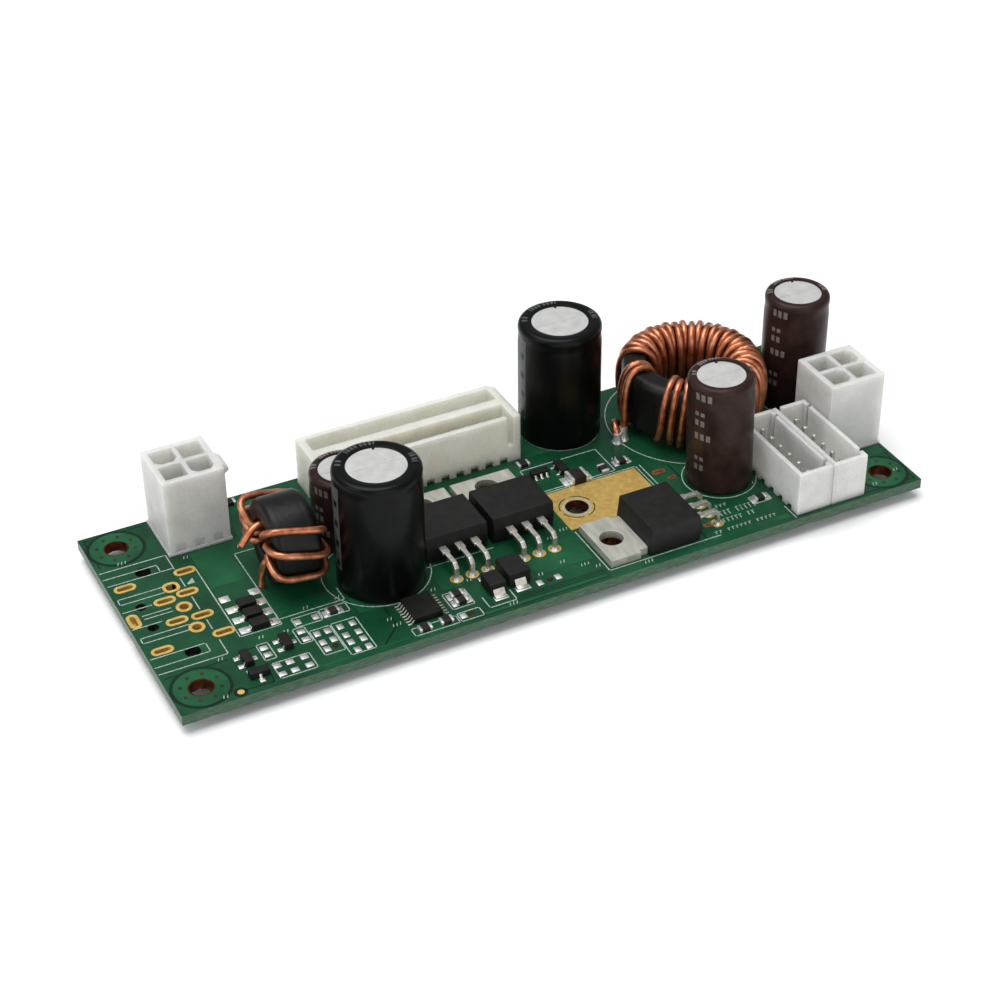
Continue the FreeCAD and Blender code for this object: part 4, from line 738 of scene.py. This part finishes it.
LEGEND_LINES = (
    ((0.3, 35.1), (10.4, 35.1)), ((10.4, 35.1), (10.4, 31.4)), ((10.4, 13.0), (10.4, 9.6)), ((0.3, 9.6), (10.4, 9.6)),
    ((0.3, 33.4), (8.4, 33.4)), ((8.4, 33.4), (8.4, 31.6)), ((0.6, 28.0), (8.0, 28.0)), ((0.6, 26.7), (7.2, 26.7)),
    ((0.6, 28.0), (0.6, 26.7)), ((2.6, 22.9), (6.8, 22.9)), ((2.6, 22.1), (6.8, 22.1)), ((0.6, 18.2), (7.8, 18.2)),
    ((0.6, 17.0), (7.8, 17.0)), ((0.6, 18.2), (0.6, 17.0)), ((0.3, 13.2), (8.4, 13.2)), ((8.4, 13.2), (8.4, 11.2)),
    ((0.3, 11.2), (8.4, 11.2)), ((0.4, 31.6), (10.4, 31.6)), ((0.3, 24.8), (4.6, 24.8)), ((0.3, 20.6), (4.6, 20.6)),
    ((10.4, 28.9), (10.4, 26.7)), ((10.4, 24.0), (10.4, 20.8)), ((10.4, 18.0), (10.4, 15.8)),
    ((13.2, 30.0), (13.2, 12.2)), ((13.2, 12.2), (19.5, 12.2)), ((19.5, 12.2), (19.5, 30.7)),
    ((19.5, 30.7), (23.0, 30.7)), ((19.5, 13.4), (29.6, 13.4)), ((29.6, 13.4), (29.6, 16.2)),
    ((66.5, 1.8), (85.2, 1.8)), ((66.5, 1.8), (66.5, 12.4)), ((66.2, 23.2), (82.9, 23.2)),
    ((82.9, 23.2), (82.9, 13.0)),
    ((83.6, 23.2), (83.6, 13.0)), ((47.2, 4.6), (47.2, 2.0)), ((47.2, 2.0), (51.5, 2.0)), ((51.5, 2.0), (51.5, 4.4)),
    ((42.2, 14.6), (53.9, 14.6)), ((97.6, 0.4), (97.6, 3.6)),
)
LEGEND_BOXES = (
    ((14.4, 5.7), (16.1, 9.4)), ((14.9, 1.2), (20.4, 4.7)), ((20.2, 6.8), (22.0, 10.3)), ((21.0, 10.5), (25.0, 12.6)),
    ((25.2, 10.7), (29.3, 12.7)), ((22.2, 3.0), (25.3, 8.9)), ((25.5, 1.4), (29.3, 9.0)), ((42.3, 4.0), (45.8, 7.8)),
    ((42.3, 1.0), (45.8, 2.9)), ((35.1, 1.0), (42.0, 2.7)), ((93.8, 6.2), (97.0, 8.0)), ((66.4, 23.7), (79.6, 30.2)),
)
# x, y and radius of the circles round the round parts
LEGEND_RINGS = ((36.2, 17.0, 8.0), (92.9, 14.9, 5.7), (77.4, 38.0, 6.3), (97.4, 31.5, 13.4), (114.73, 28.8, 5.15))
LEGEND_TICKS = (
    # x, y, number of ticks
    (3.4, 35.9, 3), (6.4, 0.9, 2), (12.5, 33.0, 2), (19.0, 10.2, 2), (23.5, 13.9, 2), (33.2, 4.4, 3), (33.0, 6.0, 2),
    (41.4, 9.3, 2), (47.0, 9.0, 2), (56.8, 5.4, 2), (61.0, 6.6, 2), (50.0, 1.2, 3), (63.4, 4.6, 3), (65.2, 3.4, 2),
    (72.0, 0.9, 3), (64.6, 13.6, 3), (62.0, 12.6, 2), (84.8, 12.2, 2), (112.6, 2.0, 2), (117.6, 3.8, 2),
    (20.6, 32.0, 2),
    (15.4, 10.6, 2), (8.6, 8.7, 2), (28.4, 14.0, 2), (80.6, 26.4, 2), (96.6, 11.0, 2),
)


# Rows of short bars in place of writing: x, y, number of places
WRITING_ROWS = ((84.9, 2.3, 15), (86.8, 4.3, 9), (88.0, 5.9, 9), (87.6, 8.0, 4))
WRITING_PITCH, TICK_PITCH = 0.72, 0.55
LEGEND_EDGE = WIDTH - 0.1


def make_legend():
    sheet = begin_print("board_legend")
    for start, end in LEGEND_LINES:
        stroke(start, end)
    for low, high in LEGEND_BOXES:
        frame_line(low, high)
    for x, y, count in LEGEND_TICKS:
        for n in range(count):
            left = x + TICK_PITCH * n
            stroke((left, y), (left + 0.2, y + 0.5), 0.13)
    for n in range(6):
        stroke((11.0 + 0.18 * n, 27.0), (11.0 + 0.18 * n, 27.2 + 0.16 * n), 0.16)
    for row, (x, y, count) in enumerate(WRITING_ROWS):
        for n in range(count):
            if (n * 5 + row) % 7 == 3:
                continue
            left, tall = x + WRITING_PITCH * n, 0.5 + 0.28 * ((n * 3 + row) % 3)
            stroke((left, y), (left + 0.08, y + tall), 0.14)
            stroke((left, y + tall), (left + 0.32, y + tall), 0.13)
    pieces = [finish_print(sheet, LINE_RISE)]
    for x, y, radius in LEGEND_RINGS:
        pieces.append(ring_plate("legend_ring", x, y, radius - LINE / 2, radius + LINE / 2, LINE_RISE, 96))
    legend = joined("board_legend", pieces)
    edit(legend)
    bpy.ops.mesh.select_all(action="SELECT")
    bpy.ops.mesh.bisect(plane_co=spot(0, LEGEND_EDGE), plane_no=(0, 1, 0), use_fill=True, clear_outer=True)
    leave_edit()
    dress(legend, LEGEND, "laminate")


# Headers and pins

def make_headers():
    for node, material in (("left_power_header", NYLON), ("right_power_header", NYLON), ("signal_header", CREAM),
                           ("inner_output_header", NYLON), ("outer_output_header", NYLON)):
        dress(softened(node, node + "_moulding", 0.14), material, "white_housing", node)


def make_pins():
    for node, width in (("left_power_pins", 0.16), ("right_power_pins", 0.16), ("signal_pins", 0.12),
                        ("inner_output_pins", 0.12), ("outer_output_pins", 0.12)):
        dress(softened(node, node + "_plated", width, degrees=50), TIN, "tinned_pin", node)
    coat(TIN, "capacitor_leads")
    coat(SOLDER, "coil_joints")


# Coils

def ring_core(name, bore, radius, low, high, rounding, centre):
    """A coated ring with rounded edges."""
    corners = [(bore, low), (radius, low), (radius, high), (bore, high)]
    points = []
    for n, (r, z) in enumerate(corners):
        place = Vector((r, 0, z))
        before, after = corners[n - 1], corners[(n + 1) % 4]
        into = Vector((before[0], 0, before[1])) - place
        out = Vector((after[0], 0, after[1])) - place
        ease = rounding if r == radius else rounding * 0.5
        start, end = place + into.normalized() * ease, place + out.normalized() * ease
        for k in range(7):
            t = k / 6
            spot_now = start.lerp(place, t).lerp(place.lerp(end, t), t)
            points.append((spot_now.x, spot_now.z))
    points.append(points[0])
    piece = turned(name, points, centre, 128)
    smooth(piece, 50)
    return piece


INDUCTOR = (97.4, 31.5)
INDUCTOR_WIRE = 0.55
INDUCTOR_TURNS = 35


def inductor_path():
    """The middle line of the wire: up from the board, every turn round the core, and down into the board."""
    outer, near, layer = 11.55, 6.3, 1.0
    low, high, step = TOP + 0.75, TOP + 11.65, 8.35
    centre = spot(*INDUCTOR, 0)

    def at(radius, degrees, height):
        angle = math.radians(degrees)
        return centre + Vector((math.cos(angle) * radius, math.sin(angle) * radius, height)) * MM

    turns = [179.0] + [219.0 + step * n for n in range(INDUCTOR_TURNS)] + [530.5]
    points = [(at(12.42, 183.2, -STUB), 0), (at(12.42, 183.2, TOP + 2.2), 1.2)]
    for n, turn in enumerate(turns):
        inner = near - layer * (n % 2)
        lean = random.uniform(-0.5, 0.5)
        proud = random.uniform(-0.06, 0.10)
        points += [(at(outer + proud, turn + lean, high), 2.1), (at(inner, turn, high), 1.3),
                   (at(inner, turn, low), 0.9)]
        if n < len(turns) - 1:
            points.append((at(outer, turns[n + 1] - step * 0.55, low), 0.9))
    points += [(at(outer, turns[-1], low), 0.5), (at(13.4, 535.0, TOP + 2.6), 0.8),
               (at(13.64, 544.2, TOP + 1.6), 0.6), (at(13.64, 544.2, -STUB), 0)]
    return eased(points, 6)


def make_inductor():
    centre = spot(*INDUCTOR, 0)
    low = TOP + 1.35
    core = ring_core("inductor_core_coated", 6.9, 10.95, low, low + 9.7, 1.7, centre)
    dress(core, CORE, "core_coating", "inductor_core")
    coil = wire("inductor_coil", inductor_path(), INDUCTOR_WIRE)
    smooth(coil, 60)
    dress(coil, COPPER, "enamel_wire", "inductor_winding")
    ends = []
    for radius, angle, high in ((12.42, 183.2, 2.3), (13.64, 184.2, 1.5)):
        place = Vector((math.cos(math.radians(angle)) * radius, math.sin(math.radians(angle)) * radius, 0)) * MM
        section = [(0, TOP), (0.95, TOP), (0.8, TOP + 0.25), (0.66, TOP + 0.8), (0.61, TOP + high), (0, TOP + high)]
        ends.append(turned("tinned_end", section, centre + place, 20))
    tinned = joined("inductor_tinned_ends", ends)
    smooth(tinned)
    dress(tinned, SOLDER, "solder")


CHOKE = (24.6, 22.2)
CHOKE_RISE = TOP + 7.1
CHOKE_WIRE = 0.54
CHOKE_HALF = 3.45
# Each turn: angles in the bore, at the right outside and at the left outside, and slack in millimetres.
FRONT_TURNS = ((210.0, 213.0, 198.0, 0.0), (180.0, 180.0, 162.0, 0.0), (150.0, 148.0, 133.0, 0.0))
REAR_TURNS = ((62.0, 20.0, 38.0, 0.9), (32.0, -4.0, 14.0, 0.27), (2.0, -30.0, -12.0, 0.0))
FRONT_LAST, REAR_LAST = 122.0, -27.0


def choke_path(turns, last, start, finish):
    """The middle line of one choke winding, from its start places to its finish places."""
    outer, inner, side, round_off = 7.18, 2.72, 4.13, 2.7
    centre = spot(*CHOKE, CHOKE_RISE)

    def at(x, radius, degrees):
        angle = math.radians(degrees)
        return centre + Vector((x, radius * math.cos(angle), radius * math.sin(angle))) * MM

    points = [(place, 1.2) for place in start]
    for bore, right, left, slack in turns:
        points += [(at(-side, inner, bore), 1.2), (at(side, inner, bore), 1.2), (at(side, outer, right), round_off),
                   (at(-side - slack, outer + slack * 0.6, left), round_off + slack)]
    points += [(at(-side, inner, last), 1.2), (at(side, inner, last), 1.2)]
    points += [(place, 1.2) for place in finish]
    return eased([(place, rounding * MM) for place, rounding in points], 7)


def make_choke():
    centre = spot(*CHOKE, CHOKE_RISE)
    core = ring_core("choke_core_coated", 3.4, 6.5, -CHOKE_HALF, CHOKE_HALF, 1.3, Vector((0, 0, 0)))
    core.data.transform(Matrix.Translation(centre) @ Matrix.Rotation(math.radians(90), 4, "Y"))
    dress(core, CORE, "core_coating", "choke_core")
    x, y = CHOKE
    out = CHOKE_HALF + 0.58 + 0.1 + 0.25
    left = [spot(x - out, y - 0.7, TOP + 1.9), spot(x - out, y - 0.7, -STUB)]
    front_right = [spot(x + out, y - 1.4, TOP + 1.9), spot(x + out, y - 1.4, -STUB)]
    rear_right = [spot(x + out, y + 1.4, TOP + 1.9), spot(x + out, y + 1.4, -STUB)]
    tip = [spot(x - out - 2.35, y + 0.2, CHOKE_RISE + 0.3)]
    front_path = choke_path(FRONT_TURNS, FRONT_LAST, left[::-1], front_right)
    rear_path = choke_path(REAR_TURNS, REAR_LAST, tip, rear_right)
    for name, path, node in (("choke_front_coil", front_path, "choke_front_winding"),
                             ("choke_rear_coil", rear_path, "choke_rear_winding")):
        coil = wire(name, path, CHOKE_WIRE, 3)
        smooth(coil, 60)
        dress(coil, COPPER, "enamel_wire", node)


# Capacitors

CAPACITORS = (
    # name, centre, can radius, disc radius, height, lean, film
    ("input_capacitor", (36.4, 15.5), 6.1, 4.36, 20.0, 0.0, "black"),
    ("bus_capacitor", (77.4, 38.0), 6.1, 4.36, 20.0, 0.0, "black"),
    ("front_output_capacitor", (92.8, 14.85), 4.7, 3.65, 18.9, 1.5, "brown"),
    ("rear_output_capacitor", (114.7, 28.8), 4.7, 3.65, 19.7, 0.0, "brown"),
    ("filter_capacitor", (36.1, 27.4), 4.7, 3.65, 12.3, 0.0, "brown"),
)
PRINTED = {"black": ink(92, 97, 97), "brown": ink(136, 132, 128)}
MARK_PITCH, FIRST_MARK = 11.0, 194.0
# Rows of printed bars on a brown sleeve: distance from the top, half height, number of bars
MARK_ROWS = ((3.4, 0.62, 3), (6.4, 0.34, 2), (8.0, 0.5, 2), (10.4, 0.55, 3), (14.4, 0.34, 2), (16.0, 0.5, 2))
FILM = {"black": (ink(2, 3, 3), ink(6, 7, 7)), "brown": (ink(36, 22, 19), ink(56, 38, 35))}


def sleeve_section(radius, rim, height):
    """Half section of a sleeve: rolled over the rim, a soft shoulder and a shallow waist."""
    outer = radius + 0.4
    return [(radius, 0.3), (outer - 0.12, 0.3), (outer, 0.5), (outer, height - 3.4), (outer - 0.07, height - 2.5),
            (outer - 0.1, height - 1.9), (outer - 0.04, height - 1.4), (outer, height - 1.0),
            (outer - 0.04, height - 0.62), (outer - 0.2, height - 0.3), (outer - 0.5, height - 0.1),
            (outer - 0.85, height), (outer - 1.3, height - 0.02), (rim + 0.25, height - 0.1),
            (rim + 0.04, height - 0.16), (rim, height - 0.3), (rim, height - 0.4),
            (radius, height - 0.4), (radius, 0.3)]


def scored_disc(name, radius, height, centre):
    """The can's top: a bright disc with a scored cross."""
    bpy.ops.mesh.primitive_circle_add(vertices=72, radius=(radius + 0.3) * MM, fill_type="NGON",
                                      location=centre + Vector((0, 0, height)) * MM)
    disc = settle(added(name))
    half = 0.09 * MM
    edit(disc)
    for axis in (0, 1):
        for side in (-half, half):
            normal = Vector((axis == 0, axis == 1, 0))
            bpy.ops.mesh.select_all(action="SELECT")
            bpy.ops.mesh.bisect(plane_co=centre + normal * side, plane_no=normal)
    bpy.ops.mesh.select_mode(type="FACE")
    bpy.ops.mesh.select_all(action="DESELECT")
    leave_edit()
    reach = radius * 0.86 * MM
    for face in disc.data.polygons:
        off = face.center - centre
        face.select = (abs(off.x) < half or abs(off.y) < half) and max(abs(off.x), abs(off.y)) < reach
    edit(disc)
    bpy.ops.mesh.extrude_region_move(TRANSFORM_OT_translate={"value": (0, 0, -0.05 * MM)})
    bpy.ops.mesh.select_all(action="DESELECT")
    bpy.ops.mesh.select_mode(type="VERT")
    leave_edit()
    apply_modifier(disc, "SOLIDIFY", thickness=0.15 * MM, offset=-1.0)
    return disc


def make_capacitors():
    for name, (x, y), radius, rim, height, lean, film in CAPACITORS:
        base = Vector((0, 0, 0))
        seat = spot(x, y)
        tilt = Matrix.Translation(seat) @ Matrix.Rotation(math.radians(-lean), 4, "Y")
        sleeve = turned(name + "_film", sleeve_section(radius, rim, height), base, 96)
        smooth(sleeve, 40)
        sleeve.data.transform(tilt)
        if film == "black":
            stripe, marks = (179.0, 9.0, TOP + 2.5, TOP + height - 3.4), []
        else:
            stripe = (-28.0, 15.0, TOP + 0.6, TOP + height - 2.8)
            marks = [(FIRST_MARK + MARK_PITCH * bar, 3.6, TOP + height - down, rise)
                     for down, rise, bars in MARK_ROWS for bar in range(bars)]
        crown = (rim + radius) / 2 + 0.2
        material = shrink_film(name + "_film", seat, *FILM[film], PRINTED[film], stripe, crown, marks)
        dress(sleeve, material, film + "_sleeve", name + "_sleeve")
        disc = scored_disc(name + "_top", rim, height - 0.24, base)
        disc.data.transform(tilt)
        bpy.ops.mesh.primitive_cube_add(size=MM, location=(0, 0, 0))
        tick = added(name + "_rim_tick")
        edit(tick)
        bpy.ops.transform.resize(value=(0.55, 0.42, 0.14))
        bpy.ops.mesh.select_all(action="SELECT")
        bpy.ops.transform.translate(value=Vector((rim - 0.12, 0, height - 0.28)) * MM)
        leave_edit()
        bevelled(tick, 0.05)
        tick.data.transform(tilt @ Matrix.Rotation(math.radians(72), 4, "Z"))
        dress(tick, RUBBER, "can_metal")
        dress(disc, DISC, "can_metal")
        coat(DISC, name + "_can")
    coat(RUBBER, "capacitor_bungs")


# Transistors and surface parts

def make_transistors():
    for which in ("left", "middle", "side"):
        node = which + "_transistor"
        dress(softened(node + "_body", node + "_moulding", 0.16), EPOXY, "epoxy_black", node + "_body")
        dress(softened(node + "_tab", node + "_plate", 0.08), TAB, "tab_metal", node + "_tab")
        dress(softened(node + "_legs", node + "_leads", 0.07), TIN, "tinned_pin", node + "_legs")


LEG_PITCH = 2.54
LEG_FEET = tuple((x + LEG_PITCH * n, 10.2) for x in (48.4, 59.34) for n in (-1, 0, 1)) \
    + tuple((86.35, 7.15 + LEG_PITCH * n) for n in (-1, 0, 1))


def make_leg_pads():
    rims = [ring_plate("leg_pad", x, y, 0.62, 1.0, 0.05, 28) for x, y in LEG_FEET]
    dress(joined("leg_pads", rims), GOLD, "gold_plate")
    section = [(0, TOP), (0.72, TOP), (0.62, TOP + 0.12), (0.5, TOP + 0.35), (0, TOP + 0.4)]
    solder = joined("leg_solder", [turned("leg_solder", section, spot(x, y, 0), 20) for x, y in LEG_FEET])
    smooth(solder)
    dress(solder, SOLDER, "solder")


SMALL_PADS = (
    # x, y, size along x, size along y
    (14.3, 13.3, 1.5, 1.4), (14.3, 15.85, 1.5, 1.4), (14.3, 18.4, 1.5, 1.4), (14.3, 21.2, 1.5, 1.4),
    (18.75, 13.3, 1.4, 1.5), (18.75, 15.85, 1.4, 1.5), (18.75, 18.4, 1.4, 1.5), (18.7, 21.0, 1.4, 1.5),
    (11.0, 6.05, 0.9, 0.8), (11.0, 7.95, 0.9, 0.8), (13.2, 7.0, 0.9, 0.8),
    (17.2, 6.95, 0.9, 0.8), (17.2, 8.85, 0.9, 0.8), (19.4, 7.9, 0.9, 0.8),
    (11.55, 4.45, 0.8, 0.9), (13.45, 4.45, 0.8, 0.9), (12.5, 2.15, 0.8, 0.9),
    (49.65, 3.4, 2.2, 1.0), (49.65, 8.5, 2.2, 0.8), (53.4, 3.9, 2.3, 1.1), (53.4, 10.1, 2.3, 1.1),
    (25.9, 11.45, 1.0, 1.4), (28.0, 11.45, 1.0, 1.4), (80.5, 25.25, 0.9, 1.5), (82.6, 25.25, 0.9, 1.5),
    (94.2, 7.05, 1.0, 1.4), (96.4, 7.05, 1.0, 1.4), (43.1, 6.75, 1.0, 1.4), (45.25, 6.75, 1.0, 1.4),
    (43.1, 5.15, 1.0, 1.4), (45.25, 5.15, 1.0, 1.4), (71.2, 24.5, 0.9, 2.2), (75.2, 24.5, 0.9, 2.2),
)


def make_small_pads():
    """Tinned pads with soft edges under the small parts."""
    sheet = begin_print("small_solder_pads")
    for x, y, long, wide in SMALL_PADS:
        field((x - long / 2, y - wide / 2), (x + long / 2, y + wide / 2))
    finish_print(sheet, 0.06)
    bevelled(sheet, 0.05)
    smooth(sheet, 60)
    dress(sheet, SOLDER, "solder")


SURFACE_PARTS = (
    # node, width of its broken edges, material, slot
    ("controller_body", 0.08, EPOXY, "epoxy_black"), ("large_diode_body", 0.12, EPOXY, "epoxy_black"),
    ("small_diode_body", 0.12, EPOXY, "epoxy_black"), ("rectifier_bodies", 0.08, EPOXY, "epoxy_black"),
    ("small_transistor_bodies", 0.08, EPOXY, "epoxy_black"), ("chip_bodies", 0.04, CERAMIC, "chip_ceramic"),
    ("controller_leads", 0.03, TIN, "tinned_pin"), ("large_diode_terminals", 0.05, TIN, "tinned_pin"),
    ("small_diode_terminals", 0.05, TIN, "tinned_pin"), ("rectifier_terminals", 0.04, TIN, "tinned_pin"),
    ("small_transistor_leads", 0.04, TIN, "tinned_pin"), ("chip_end_caps", 0.06, SOLDER, "solder"),
    ("tinned_pads", 0.1, SOLDER, "solder"),
)


def make_surface_parts():
    for node, width, material, slot in SURFACE_PARTS:
        dress(softened(node, node + "_finished", width), material, slot, node)


make_camera()
make_studio()
make_board()
make_gold_marks()
make_copper()
make_legend()
make_headers()
make_pins()
make_inductor()
make_choke()
make_capacitors()
make_transistors()
make_leg_pads()
make_small_pads()
make_surface_parts()
